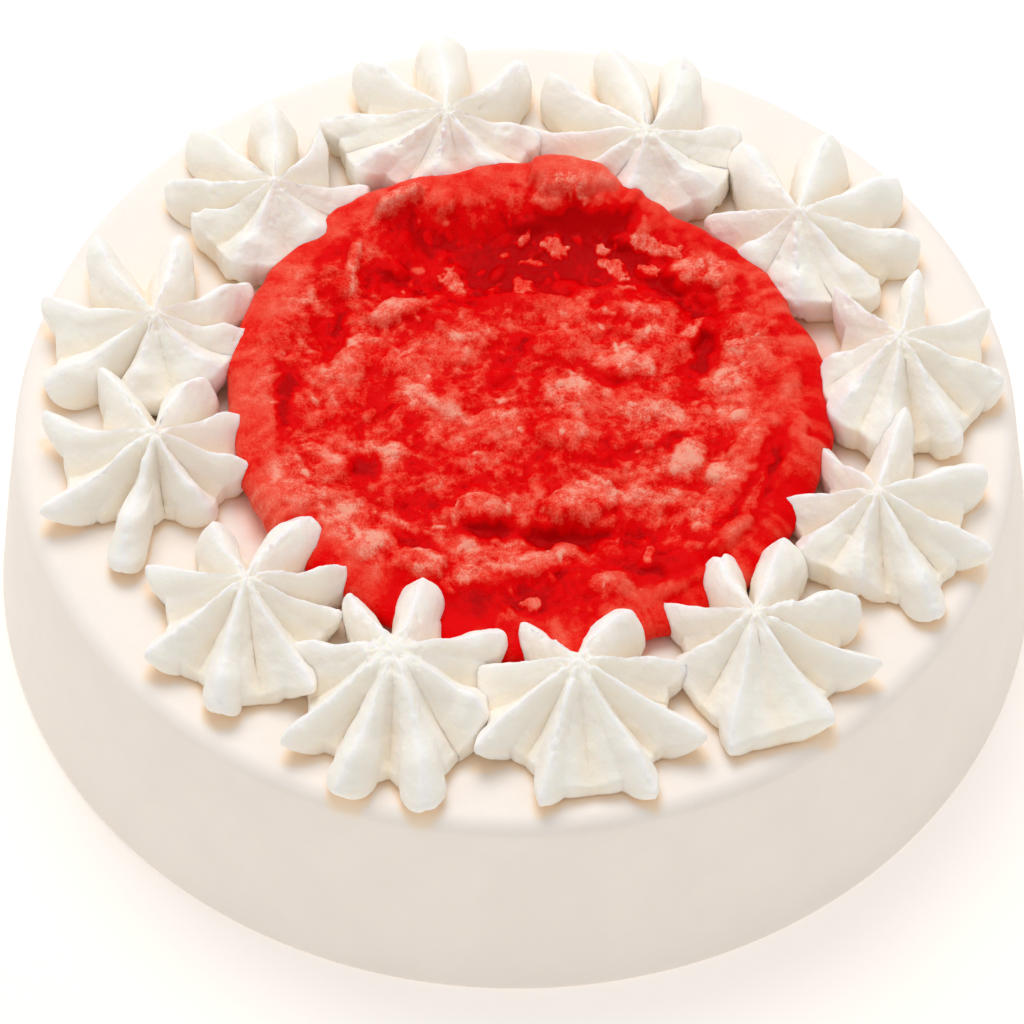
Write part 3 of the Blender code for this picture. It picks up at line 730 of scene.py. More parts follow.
def cream_material(
    name, cream, crease, juice, grain_size, stain_and_shade_strength, milkiness, bump_depth
):
    """Whipped cream: soft and milky, with painted warm shade in its creases, and a juice tint that
    is partly a stain and partly painted shade.
    """
    material, tree, shader = new_material(name)
    grain = add_node(
        tree, "ShaderNodeGroup", {"Grain Size": grain_size}, node_tree=cream_grain_group()
    )
    stain_and_shade = add_node(tree, "ShaderNodeGroup", {"Strength": stain_and_shade_strength}, node_tree=juice_and_shade_group())
    dull, clear = with_alpha(cream, 0.985), with_alpha(cream, 1.01)
    toned = add_blend(tree, grain.outputs["Tone"], dull, clear)
    # Painted shade: the shade colour where the mesh says that shade falls.
    shaded_cream = add_blend(tree, from_mesh(tree, "crease"), toned, with_alpha(crease))
    relief = add_node(
        tree, "ShaderNodeBump", {"Height": grain.outputs["Height"], "Distance": bump_depth}
    )
    # The juice tint: partly a stain, partly painted shade near the compote.
    fill_inputs(tree, shader.inputs, {
        "Base Color": add_blend(tree, stain_and_shade.outputs["Stain"], shaded_cream, with_alpha(juice)),
        "Normal": relief.outputs["Normal"], "Roughness": 0.6, "Specular IOR Level": 0.2,
        "Subsurface Weight": milkiness, "Subsurface Radius": (1.0, 0.85, 0.65),
        "Subsurface Scale": 1.5 * MM,
    })
    return material


def compote_material(settings):
    """Red gel with paler fruit in it. The mesh says where fruit lies, where shade and light are
    painted, and how coarse it is.
    """
    material, tree, shader = new_material("strawberry_compote_shown")
    place = tree.nodes.new("ShaderNodeTexCoord").outputs["Object"]
    veins = add_noise(tree, place, 1.4 * MM, detail=5.0, roughness=0.7)
    fine = add_noise(tree, place, 0.36 * MM, detail=3.0, roughness=0.75)
    both = add_maths(tree, "ADD", veins, add_maths(tree, "MULTIPLY", fine, 0.9))
    centred = add_maths(tree, "SUBTRACT", both, 0.95)
    scaled = add_maths(tree, "MULTIPLY", centred, 0.9)
    mottle = add_maths(tree, "MULTIPLY", scaled, from_mesh(tree, "coarse"))
    value = add_maths(tree, "ADD", from_mesh(tree, "fruit"), mottle)
    ramp = add_node(tree, "ShaderNodeValToRGB", {"Fac": value})
    stops = (
        (0.02, settings.deep_and_shade), (0.22, settings.gel), (0.39, settings.gel), (0.49, settings.bright),
        (0.68, settings.flesh), (0.95, settings.pale),
    )
    while len(ramp.color_ramp.elements) < len(stops):
        ramp.color_ramp.elements.new(1.0)
    for element, (position, shade) in zip(ramp.color_ramp.elements, stops):
        element.position = position
        element.color = with_alpha(shade)
    wet = add_node(tree, "ShaderNodeMapRange", {"Value": value, "To Min": 0.25, "To Max": 0.5})
    relief = add_node(tree, "ShaderNodeBump", {"Height": fine, "Distance": 0.12 * MM})
    fill_inputs(tree, shader.inputs, {
        "Base Color": ramp.outputs["Color"], "Normal": relief.outputs["Normal"],
        "Roughness": wet.outputs["Result"], "Specular IOR Level": 0.03,
        "Subsurface Weight": 0.3, "Subsurface Radius": (1.0, 0.2, 0.15),
        "Subsurface Scale": 1.2 * MM,
    })
    return material


def floor_material(settings):
    material, tree, shader = new_material("pale_floor")
    fill_inputs(tree, shader.inputs, {
        "Base Color": with_alpha(settings.floor), "Roughness": 0.9, "Specular IOR Level": 0.0,
        "Emission Color": (1.0, 1.0, 1.0, 1.0), "Emission Strength": settings.floor_glow,
    })
    return material


# --- The coat of cream ---------------------------------------------------------------


def coat_profile(settings):
    """The cake's outline, (radius, height), from near the axis to the foot."""
    slope = math.atan2(BASE_RADIUS - TOP_RADIUS, CAKE_HEIGHT)
    edge, foot = settings.edge_round, settings.foot_round
    rim_radius = TOP_RADIUS - edge
    inner = np.linspace(0, COAT_INNER_RADIUS, COAT_INNER_ROWS)[1:-1]
    outer = np.linspace(COAT_INNER_RADIUS, rim_radius, COAT_TOP_ROWS)[:-1]
    flat = [(radius, CAKE_HEIGHT) for radius in (*inner, *outer)]
    rim = [
        (rim_radius + edge * math.sin(turn), CAKE_HEIGHT - edge + edge * math.cos(turn))
        for turn in np.linspace(0, math.pi / 2 - slope, COAT_RIM_ROWS)
    ]
    low = [
        (BASE_RADIUS - foot + foot * math.cos(turn), foot + foot * math.sin(turn))
        for turn in np.linspace(slope, -math.pi / 2, COAT_FOOT_ROWS)
    ]
    side = [
        (mix(rim[-1][0], low[0][0], part), mix(rim[-1][1], low[0][1], part))
        for part in np.linspace(0, 1, COAT_SIDE_ROWS)[1:-1]
    ]
    return np.array(flat + rim + side + low)


def coat_painted_shade(rings, reach):
    """How close each point of the coat lies to a rosette, from 0 to 1 where one covers it: how much
    painted shade it gets.
    """
    shade_share = np.zeros(rings.shape[:-1])
    for number in range(1, len(ROSETTES) + 1):
        columns, _, _ = piped_columns(number)
        local = rings - np.array(rosette_place(number))
        bearing = np.degrees(np.arctan2(local[..., 1], local[..., 0]))
        tips = columns.root + columns.lean
        edge = np.interp(bearing, tips, columns.edge, period=360)
        past = np.maximum(np.hypot(local[..., 0], local[..., 1]) - edge, 0)
        shade_share = np.maximum(shade_share, np.exp(-((past / reach) ** 2)))
    on_top = smooth((rings[..., 2] - CAKE_HEIGHT + 3 * MM) / (2 * MM))
    return shade_share * on_top


def make_coat(settings):
    """The cake under its coat, spread by hand and so not quite even."""
    profile = coat_profile(settings)
    turns = np.arange(COAT_SIDES) / COAT_SIDES * math.tau
    rings = np.stack(
        [
            profile[:, :1] * np.cos(turns),
            profile[:, :1] * np.sin(turns),
            np.repeat(profile[:, 1:], COAT_SIDES, axis=1),
        ],
        axis=-1,
    )
    uneven = settings.waves * rough(rings, COAT_WAVE_LENGTH, 1)
    uneven += settings.strokes * rough(rings, COAT_STROKE_LENGTH, 2)
    above_foot = smooth(rings[..., 2] / COAT_EVEN_FOOT)
    rings += grid_normals(rings) * (uneven * above_foot)[..., None]
    rings[..., 2] = np.maximum(rings[..., 2], 0.0)
    mesh = closed_mesh("cake_shown", rings, rings[0].mean(axis=0), (0, 0, 0))
    # Painted shade on the coat round and under the rosettes.
    shade_share = coat_painted_shade(rings, settings.painted_shade_reach)
    add_values(mesh, "crease", np.append(shade_share, (0, 0)))
    material = cream_material(
        "cream_shown", settings.cream, settings.crease, settings.juice,
        grain_size=1.2 * MM, stain_and_shade_strength=0.6, milkiness=0.2, bump_depth=0.03 * MM,
    )
    return add_piece("cake", mesh, material)


# --- The piped rosettes --------------------------------------------------------------


class Arm:
    """One arm of a rosette: the measures of its form, as piping varies them."""

    def __init__(self, root, tip, reach, form, chance):
        self.root = root
        self.lean = tip - root
        self.reach = reach * MM
        for name, value in form._asdict().items():
            setattr(self, name, value if name in PURE_NUMBERS else value * MM)
        for name, low, high in ARM_DRAWS:
            setattr(self, name, getattr(self, name, 1) * chance.uniform(low, high))


def rosette_arms(number, chance):
    """The eight arms of one rosette, from roots nearly evenly spaced to their tips."""
    _, _, _, forms, _, tips, reaches = ROSETTES[number - 1]
    step = 360 / ARMS
    turn = sum(tip - step * i for i, tip in enumerate(tips)) / ARMS
    arms = []
    for i, (tip, reach, form) in enumerate(zip(tips, reaches, forms)):
        even = turn + step * i
        root = mix(even, tip, ROOT_FOLLOWS_TIP)
        arms.append(Arm(root, tip, reach, ARM_FORMS[form], chance))
    return arms


class Columns:
    """The lines of points that run down a rosette, with the values that each one needs."""

    def __init__(self, arms, webs, chance):
        half = np.arange(HALF_COLUMNS) / HALF_COLUMNS
        eased = mix(half, 0.5 - 0.5 * np.cos(np.pi * half), COLUMN_EASE)
        shares = np.concatenate([eased / 2, [0.5], 1 - eased[:0:-1] / 2])
        arm = np.repeat(np.arange(ARMS), len(shares))
        self.share = np.tile(shares, ARMS)
        following = (arm + 1) % ARMS
        near = np.where(self.share <= 0.5, arm, following)
        self.offset = 2 * np.minimum(self.share, 1 - self.share)
        self.flank = np.where(self.share <= 0.5, 1, -1)
        self.number = near
        for value in vars(arms[0]):
            setattr(self, value, np.array([getattr(each, value) for each in arms])[near])
        roots = np.array([each.root for each in arms])
        tips = roots + [each.lean for each in arms]
        leans = np.array([each.lean for each in arms])
        reaches = np.array([each.reach for each in arms])
        web_shares = [int(each) / 10 + chance.uniform(-WEB_SPREAD, WEB_SPREAD) for each in webs]
        self.web = (web_shares * (reaches + np.roll(reaches, -1)) / 2)[arm]
        raised = smooth_between(np.array(web_shares), *WEB_RAISE_SHARES)
        self.web_height = mix(WEB_HEIGHT, HIGH_WEB_HEIGHT, raised)[arm]
        self.root = roots[arm] + self.share * ((roots[following] - roots[arm]) % 360)
        self.lean = mix(leans[arm], leans[following], self.share)
        half_turn = np.radians((tips[following] - tips[arm]) % 360 / 2)
        neck = np.minimum(np.maximum(self.reach - self.length, self.web + NECK_GAP), self.reach)
        belly = mix(neck, self.reach, 0.5)
        half_share = np.clip(np.arcsin(self.width / belly) / half_turn, *ARM_SHARES)
        inside = np.clip(self.offset / half_share, 0, 1)
        past = (self.offset - half_share) / (1 - half_share)
        end = (1 - inside**self.plan) ** (1 / self.plan)
        self.edge = mix(neck, self.reach, end) - (neck - self.web) * smooth(past)
        self.edge -= self.split * bump(self.offset, 0, SPLIT_WIDTH)


def arm_heights(columns, part):
    """Heights along the top of the arms, at one share of the way out for each row."""
    offset = columns.offset
    edge_height = mix(columns.tip, columns.web_height, offset**WALL_POWER)
    near_height = ROSETTE_HEIGHT - NUB_STEP - NUB_DIP * offset
    blunt = mix(NUB_BLUNT, columns.blunt, smooth(part / 0.35))
    away = (np.hypot(offset, blunt) - blunt) / (np.hypot(1, blunt) - blunt)
    skew = 1 + columns.skew * columns.flank
    hollow = (1 - away) ** (HOLLOW_POWER * skew)
    full = 1 - away ** (FULL_POWER / skew)
    ridge = mix(hollow, full, columns.full * smooth(part / 0.5))
    fall = mix((1 - part) ** VALLEY_FALL, 1 - part**CREST_FALL, ridge)
    height = mix(edge_height, near_height, fall)
    sag_place = columns.hump_place - SAG_BEFORE_HUMP
    height += ridge * columns.hump * bump(part, columns.hump_place, HUMP_WIDTH)
    height -= ridge * columns.sag * bump(part, sag_place, SAG_WIDTH)
    height += ridge * columns.hook * smooth((part - (1 - HOOK_SHARE)) / HOOK_SHARE)
    return height


def rosette_rings(columns, nub):
    """Rings of points round a rosette from its nub to its foot, centred on its axis."""
    part = np.linspace(0, 1, TOP_ROWS)[:, None]
    narrowing = mix(1, WEB_ROUND_SHARE, columns.offset)
    lip = columns.lip * narrowing
    brow = np.radians(mix(columns.brow, VALLEY_BROW, columns.offset))
    top_distance = mix(nub, columns.edge - lip * (1 - np.cos(brow)), part)
    top_height = arm_heights(columns, part)

    inner = np.array(NUB_SHARES)[:, None]
    nub_distance = inner * nub + 0 * columns.offset
    nub_height = mix(ROSETTE_HEIGHT, top_height[0], inner**2)

    turn = mix(brow, np.radians(LIP_LAST_DEGREES), np.array(LIP_SHARES)[:, None])
    thick = mix(columns.thick, 2 * columns.web_height, columns.offset)
    half_thick = np.minimum(thick, top_height[-1]) / 2
    lip_distance = columns.edge - lip * (1 - np.cos(turn))
    lip_height = top_height[-1] - half_thick * (np.sin(brow) - np.sin(turn))

    inward = np.array(UNDER_SHARES)[:, None]
    foot = columns.edge - np.maximum(columns.under * narrowing, lip)
    under_distance = mix(lip_distance[-1], foot, inward)
    under_height = lip_height[-1] * (1 - inward**1.4)

    distance = np.concatenate([nub_distance, top_distance, lip_distance, under_distance])
    height = np.concatenate([nub_height, top_height, lip_height, under_height])
    way_out = np.clip(distance / columns.reach, 0, 1)
    sway = columns.wander * np.sin(math.tau * (WANDER_TURNS * way_out + columns.phase)) * way_out
    sway *= 1 - columns.offset
    angle = np.radians(columns.root + columns.lean * way_out**LEAN_POWER)
    angle = angle + sway / np.maximum(distance, 1 * MM)
    return np.stack([distance * np.cos(angle), distance * np.sin(angle), height], axis=-1)


def crumbly_crests(rings, columns, number):
    """How far the cream's crests stand up where they are ragged."""
    ragged = smooth(rough(rings, RAGGED_SPACING, number + 0.2) * 2 + 0.4)
    on_crest = bump(columns.offset, 0, CREST_WIDTH)
    return columns.crumbs * on_crest * ragged * layered(rings, CREST_WAVES, number)


def crumbs_below_nub(rings, columns, way_out, number):
    near_nub = 1 - smooth((way_out / columns.reach - 0.25) / 0.45)
    patches = smooth(rough(rings, CRUMB_PATCH_SPACING, number + 0.4) * 2.2)
    patchy = patches * columns.crumbs * near_nub
    grains = np.maximum(rough(rings, CRUMB_SPACING, number + 0.1), 0)
    return 1.6 * patchy * grains * bump(columns.offset, 0, 0.5)


def roughen_rosette(rings, columns, nub, number, chance, settings):
    """Adds what piping leaves: waves, ragged crests, fine lines, a torn nub and pits."""
    way_out = np.linalg.norm(rings[..., :2], axis=-1)
    off_nub = smooth((way_out - 0.6 * nub) / (2 * MM))
    on_nub = smooth((nub + TORN_REACH - way_out) / TORN_REACH)
    above_foot = smooth(rings[..., 2] / ROSETTE_EVEN_FOOT)
    lines = np.stack([columns.share * 5.5, columns.number * 7.1, 0 * columns.share], axis=-1)
    depth = settings.waves * layered(rings, PIPED_WAVES, number)
    depth += settings.streaks * layered(lines, TIP_LINES, number)
    depth += settings.crumbs * crumbs_below_nub(rings, columns, way_out, number)
    for _ in range(PITS):
        row = chance.randrange(len(NUB_SHARES) + 4, len(NUB_SHARES) + TOP_ROWS)
        pit = rings[row, chance.randrange(rings.shape[1])]
        away = np.linalg.norm(rings - pit, axis=-1)
        depth -= settings.pit_depth * chance.uniform(0.4, 1) * bump(away, 0, PIT_RADIUS)
    lift = settings.crumple * crumbly_crests(rings, columns, number)
    rings = rings + grid_normals(rings) * (depth * above_foot * off_nub)[..., None]
    rings[..., 2] += lift * above_foot * off_nub
    torn = layered(rings, TORN_NUB, number)
    rings[..., 2] += settings.torn_nub * on_nub * np.minimum(torn, TORN_LIMIT)
    return rings


def rosette_painted_shade(rings, columns):
    """Painted shade: how deep each point lies between the arms or under them, from 0 to 1, with a
    little on the flanks so that the crests look lighter.
    """
    height = rings[..., 2] / ROSETTE_HEIGHT
    slot = smooth((columns.offset - 0.45) / 0.55) * smooth((0.85 - height) / 0.5)
    flank = smooth(columns.offset / 0.3)
    under = np.zeros_like(height)
    under[-len(UNDER_SHARES) - 2:] = 1
    return np.clip(0.2 * flank + 0.3 * slot + 0.6 * under, 0, 1)


def rosette_place(number):
    """Where a rosette's axis meets the top of the cake."""
    bearing, from_axis, *_ = ROSETTES[number - 1]
    turn = math.radians(bearing)
    place = Vector((math.cos(turn), math.sin(turn), 0)) * from_axis * MM
    place.z = CAKE_HEIGHT - ROSETTE_SINK
    return place


def piped_columns(number):
    """A rosette's lines of points, the radius of its nub, and its source of chance."""
    _, _, nub, _, webs, _, _ = ROSETTES[number - 1]
    chance = random.Random(ROSETTE_SEED + number)
    return Columns(rosette_arms(number, chance), webs, chance), nub * MM, chance


def make_rosette(number, material, settings):
    columns, nub, chance = piped_columns(number)
    rings = rosette_rings(columns, nub)
    rings = roughen_rosette(rings, columns, nub, number, chance, settings)
    name = f"rosette_{number:02d}"
    mesh = closed_mesh(f"{name}_shown", rings, rings[0].mean(axis=0), (0, 0, 0))
    # Painted shade between the arms, under them and on their flanks.
    add_values(mesh, "crease", np.append(rosette_painted_shade(rings, columns), (0, 1)))
    return add_piece(name, mesh, material, rosette_place(number))


# --- The compote ---------------------------------------------------------------------


def disc_grid(cells):
    """A square grid drawn out to a disc: for each point its share of the way out and turn."""
    line = np.linspace(-1, 1, cells + 1)
    across, along = np.meshgrid(line, line, indexing="ij")
    out = np.maximum(np.abs(across), np.abs(along))
    safe = np.where(out > 0, out, 1)
    wide = np.abs(across) > np.abs(along)
    slant = np.where(wide, along, across) / safe * math.pi / 4
    turn = np.where(wide, slant, math.pi / 2 - slant)
    turn = np.where(wide & (across < 0), math.pi - slant, turn)
    turn = np.where(~wide & (along < 0), slant - math.pi / 2, turn)
    return out, np.where(out > 0, turn, 0)


def grid_border(cells):
    """Indices of the grid's outer points, anticlockwise."""
    index = np.arange((cells + 1) ** 2).reshape(cells + 1, cells + 1)
    return np.concatenate([index[-1, :-1], index[:0:-1, -1], index[0, :0:-1], index[:-1, 0]])


def flat_points(x, y):
    return np.stack([x, y, 0 * x], axis=-1)


def compote_edge(turn):
    """Distance from the compote's centre to its edge, smoothly between the given ones."""
    place = (turn % math.tau) / math.tau * len(COMPOTE_OUTLINE)
    index = place.astype(int) % len(COMPOTE_OUTLINE)
    radii = np.array(COMPOTE_OUTLINE) * MM
    edge = mix(radii[index], np.roll(radii, -1)[index], smooth(place - np.floor(place)))
    rim = flat_points(edge * np.cos(turn), edge * np.sin(turn))
    return edge + COMPOTE_EDGE_WAVES * layered(rim, EDGE_WAVES)


def compote_base(x, y, settings):
    """Height of the compote over the cake before the fruit is added."""
    back = y / COMPOTE_MEAN_RADIUS
    out = np.hypot(x, y) / COMPOTE_MEAN_RADIUS
    rim = settings.rim_rise * bump(out, COMPOTE_RIM_SHARE, COMPOTE_RIM_WIDTH)
    waves = COMPOTE_WAVES * rough(flat_points(x, y), COMPOTE_WAVE_LENGTH, 0)
    height = settings.middle_height + COMPOTE_BACK_RISE * back * np.abs(back) + rim + waves
    for hollow_x, hollow_y, half_length, half_width, depth in HOLLOWS:
        along = (x / MM - hollow_x) / half_length
        across = (y / MM - hollow_y) / half_width
        height = height - depth * MM * np.exp(-(along**4) - across**4)
    return height


def fruit_list():
    """Every piece and bit of fruit, as in PIECES."""
    chance = random.Random(BIT_SEED)
    fruit = list(PIECES)
    for i in range(BIT_COUNT):
        out = BIT_REACH * COMPOTE_MEAN_RADIUS / MM * math.sqrt((i + chance.random()) / BIT_COUNT)
        turn = i * GOLDEN_ANGLE + chance.uniform(-0.2, 0.2)
        half_length = chance.uniform(*BIT_HALF_LENGTHS)
        half_width = half_length * chance.uniform(*BIT_SLENDERNESS)
        rise = chance.uniform(*BIT_RISES)
        bearing = chance.uniform(0, 180)
        place = (out * math.cos(turn), out * math.sin(turn))
        pale = chance.uniform(*BIT_PALENESS)
        fruit.append((*place, half_length, half_width, rise, bearing, pale))
    return fruit


def fleck_list():
    """Every thin pale fleck, as in SHREDS, the first of them in the long hollow."""
    chance = random.Random(FLECK_SEED)
    hollow_x, hollow_y, hollow_length, hollow_width, _ = HOLLOWS[0]
    flecks = []
    for i in range(FLECK_COUNT):
        if i < FLECK_COUNT * FLECK_HOLLOW_SHARE:
            centre_x = hollow_x + hollow_length * chance.uniform(-1, 1)
            centre_y = hollow_y + hollow_width * chance.uniform(-1, 1)
        else:
            out = FLECK_REACH * COMPOTE_MEAN_RADIUS / MM * math.sqrt(chance.random())
            turn = chance.uniform(0, math.tau)
            centre_x, centre_y = out * math.cos(turn), out * math.sin(turn)
        half_length = chance.uniform(*FLECK_HALF_LENGTHS)
        half_width = half_length * chance.uniform(*FLECK_SLENDERNESS)
        bearing = chance.uniform(0, 180)
        pale = chance.uniform(*FLECK_PALENESS)
        flecks.append((centre_x, centre_y, half_length, half_width, bearing, pale))
    return flecks


def local_place(x, y, centre_x, centre_y, half_length, half_width, bearing):
    """Places measured from a piece's middle, along and across it, in its half sizes."""
    turn = math.radians(bearing)
    right, ahead = x / MM - centre_x, y / MM - centre_y
    along = (right * math.cos(turn) + ahead * math.sin(turn)) / half_length
    across = (ahead * math.cos(turn) - right * math.sin(turn)) / half_width
    return along, across


def add_fruit(x, y, height):
    """Raises the pieces of fruit out of the gel. Returns the height and how pale it is."""
    chance = random.Random(BIT_SEED + 1)
    ragged = layered(flat_points(x, y), FRUIT_EDGES)
    flesh = np.zeros_like(x)
    raised = height
    for *place, rise, bearing, pale in fruit_list():
        centre_x, centre_y, _, half_width = place
        along, across = local_place(x, y, *place, bearing)
        away = np.abs(along) ** PIECE_ROUNDNESS + np.abs(across) ** PIECE_ROUNDNESS
        away = away ** (1 / PIECE_ROUNDNESS) + ragged
        tilt = chance.uniform(-1, 1) * across + chance.uniform(-1, 1) * along
        fall = 1.9 * np.maximum(away, 0) ** (PIECE_STEEPNESS + rise)
        nearest = np.argmin(np.hypot(x / MM - centre_x, y / MM - centre_y))
        top = height.flat[nearest] + MM * (rise * (1 - fall) + PIECE_TILT * half_width * tilt)
        top = np.where(away < 1.6, top, -1)
        raised = np.logaddexp(raised / SOFT_JOIN, top / SOFT_JOIN) * SOFT_JOIN
        flesh = np.maximum(flesh, pale * smooth((1.1 - away) / 0.5))
    return raised, flesh


def marks(x, y, places, strength_at):
    """How strongly marks cover each point, from a rule for one mark's strength."""
    cover = np.zeros_like(x)
    for *place, strength in places:
        along, across = local_place(x, y, *place)
        cover = np.maximum(cover, strength * strength_at(along, across))
    return cover


def soft(along, across):
    """The rule for a mark that fades out."""
    return np.exp(-0.8 * (along**2 + across**2) ** 1.3)


def torn(ragged, softness):
    """The rule for a mark with frayed edges."""
    return lambda along, across: smooth((1.1 - np.hypot(along, across) - ragged) / softness)


def shreds(x, y):
    """How far each point lies on a bare shred."""
    points = flat_points(x, y)
    x = x + SHRED_WARP * rough(points, SHRED_WARP_SPACING, 30)
    y = y + SHRED_WARP * rough(points, SHRED_WARP_SPACING, 31)
    return marks(x, y, SHREDS, torn(layered(points, SHRED_EDGES), 0.35))


def folds(points, spacing, seed):
    """Rounded lumps with sharp creases between them, from about -1 to 1."""
    return 3.2 * np.abs(rough(points, spacing, seed)) - 0.8


def spread_out(values, passes):
    """Evens a grid of values out over its neighbours."""
    for _ in range(passes):
        padded = np.pad(values, 1, mode="edge")
        values = (
            padded[1:-1, 1:-1] * 2 + padded[2:, 1:-1] + padded[:-2, 1:-1]
            + padded[1:-1, 2:] + padded[1:-1, :-2]
        ) / 6
    return values


def compote_marks(x, y, out):
    """Where the compote has clouds, pools with painted shade, smooth gel painted bright as painted
    light, bare shreds and its rim.
    """
    points = flat_points(x, y)
    torn_x = x + CLOUD_WARP * layered(points, CLOUD_EDGES)
    torn_y = y + CLOUD_WARP * layered(points, CLOUD_EDGES, 2)
    tables = {"clouds": CLOUDS, "pools_and_shade": POOLS_AND_SHADE, "bright": CALM_AND_LIT}
    parts = {name: marks(torn_x, torn_y, places, soft) for name, places in tables.items()}
    parts["bare"] = shreds(x, y)
    parts["rim"] = smooth_between(out, *RIM_SHARES)
    parts["calm"] = np.maximum(parts["rim"], parts["bright"])
    return parts


def damped(parts, calm, pools_and_shade):
    """What is left of unevenness where the gel is calm and in the pools."""
    return (1 - calm * parts["calm"]) * (1 - pools_and_shade * parts["pools_and_shade"])


def compote_height(x, y, warped, parts, settings):
    """The compote's height. It adds to the parts where flesh, flecks and high places lie."""
    lumps = LUMP_SHARE * rough(warped, LUMP_SPACING, 14)
    lumps += sum(part * folds(warped, spacing, seed) for part, spacing, seed in FOLDS)
    height = compote_base(x, y, settings)
    height += settings.lumps * damped(parts, calm=0.65, pools_and_shade=0.75) * lumps
    height += CLOUD_RISE * parts["clouds"] - POOL_DEPTH * parts["pools_and_shade"]
    height += SHRED_RISE * parts["bare"]
    height, parts["flesh"] = add_fruit(x, y, height)
    ragged = layered(flat_points(x, y), FLECK_EDGES)
    parts["flecks"] = marks(x, y, fleck_list(), torn(ragged, 0.6))
    height += FLECK_RISE * parts["flecks"]
    fibres = rough(warped, 0.9 * MM, 9) + 0.6 * rough(flat_points(x, y), 0.5 * MM, 10)
    height += settings.fibres * fibres * damped(parts, calm=0.75, pools_and_shade=0.8)
    # Painted light: places that stand above their surroundings are painted paler.
    parts["proud"] = np.tanh((height - spread_out(height, SPREAD_PASSES)) / PROUD_HEIGHT)
    return height


def weigh(level, weights, parts):
    return level + sum(weight * parts[name] for name, weight in weights.items())


def compote_paleness(turn, warped, parts):
    # Painted shade in the pools, and painted light on the rim, the smooth patches and high places.
    cloudy = layered(warped, PALE_CLOUDS)
    parts["cloudy"] = cloudy * (1 - 0.65 * np.minimum(parts["pools_and_shade"], 1))
    pale = mix(weigh(PALENESS, PALER, parts), BARE_PALENESS, 0.85 * parts["bare"])
    from_lit = np.degrees(turn) % 360 - RIM_LIGHT
    lit_rim = parts["rim"] * mix(RIM_LIGHT_LOW, 1, bump(from_lit, 0, RIM_LIGHT_WIDTH))
    # Painted light: the rim, most on its lit side, and the smooth patches are painted paler.
    even = np.maximum(0.65 * lit_rim, 0.85 * parts["bright"])
    return mix(pale, LIT_RIM_PALENESS + 0.1 * cloudy, even)


def compote_surface(settings):
    """The compote's upper surface as grids: places, height, and what the material reads."""
    out, turn = disc_grid(COMPOTE_CELLS)
    distance = out * (compote_edge(turn) - COMPOTE_EDGE_ROUND)
    x, y = distance * np.cos(turn), distance * np.sin(turn)
    points = flat_points(x, y)
    shift = np.stack([rough(points, COMPOTE_WARP_SPACING, seed) for seed in (24, 25, 26)], axis=-1)
    warped = points + COMPOTE_WARP * shift
    parts = compote_marks(x, y, out)
    height = compote_height(x, y, warped, parts, settings)
    layers = {"fruit": compote_paleness(turn, warped, parts)}
    layers["coarse"] = weigh(COARSENESS, COARSER, parts)
    return np.stack([x, y, height], axis=-1), layers


def compote_skirt(brink):
    """Rings of points from the upper surface's edge down to the cake."""
    turn = np.arctan2(brink[:, 1], brink[:, 0])
    edge = compote_edge(turn)
    rings = []
    for tilt in np.radians(COMPOTE_EDGE_DEGREES):
        distance = edge - COMPOTE_EDGE_ROUND * (1 - math.cos(tilt))
        level = brink[:, 2] * (0.5 + 0.5 * math.sin(tilt))
        rings.append(np.stack([distance * np.cos(turn), distance * np.sin(turn), level], axis=-1))
    return [*rings, rings[-1] * (UNDERSIDE_SHARE, UNDERSIDE_SHARE, 0.0)]


def compote_faces(border, skirt_rows):
    """Faces of the square grid, of the skirt below its border, and of the underside."""
    cells = COMPOTE_CELLS + 1
    index = np.arange(cells * cells).reshape(cells, cells)
    quads = np.stack([index[:-1, :-1], index[1:, :-1], index[1:, 1:], index[:-1, 1:]], axis=-1)
    faces = quads.reshape(-1, 4).tolist()
    following = np.arange(len(border)) + index.size
    rows = [border, *(following + len(border) * row for row in range(skirt_rows))]
    for inner, outer in zip(rows, rows[1:]):
        wall = np.stack([inner, outer, np.roll(outer, -1), np.roll(inner, -1)], axis=-1)
        faces += wall.tolist()
    faces.append(rows[-1][::-1].tolist())
    return faces


def make_compote(settings):
    """Gel and fruit as one closed surface, rounded off at its edge down to the cake."""
    grid, layers = compote_surface(settings)
    border = grid_border(COMPOTE_CELLS)
    upper = grid.reshape(-1, 3)
    skirt = compote_skirt(upper[border])
    mesh = bpy.data.meshes.new("strawberry_compote_shown")
    points = np.concatenate([upper, *skirt])
    mesh.from_pydata(points.tolist(), [], compote_faces(border, len(skirt)))
    mesh.shade_smooth()
    for name, values in layers.items():
        flat = values.reshape(-1)
        add_values(mesh, name, np.concatenate([flat, np.tile(flat[border], len(skirt))]))
    place = COMPOTE_CENTRE + Vector((0, 0, CAKE_HEIGHT + COMPOTE_GAP))
    return add_piece(
        "strawberry_compote", mesh, compote_material(settings), place
    )


# --- The studio ----------------------------------------------------------------------


def point_at(obj, place, target):
    obj.location = place
    obj.rotation_euler = (Vector(target) - Vector(place)).to_track_quat("-Z", "Y").to_euler()


def make_floor(settings):
    half = FLOOR_HALF_SIZE
    mesh = bpy.data.meshes.new("floor")
    corners = [(-half, -half, 0), (half, -half, 0), (half, half, 0), (-half, half, 0)]
    mesh.from_pydata(corners, [], [(0, 1, 2, 3)])
    mesh.materials.append(floor_material(settings))
    floor = bpy.data.objects.new("floor", mesh)
    bpy.context.scene.collection.objects.link(floor)


def make_light(name, place, size, power, tint):
    data = bpy.data.lights.new(name, "AREA")
    data.shape = "DISK"
    data.size = size
    data.energy = power
    data.color = tint
    light = bpy.data.objects.new(name, data)
    point_at(light, place, CAMERA_AIM)
    bpy.context.scene.collection.objects.link(light)


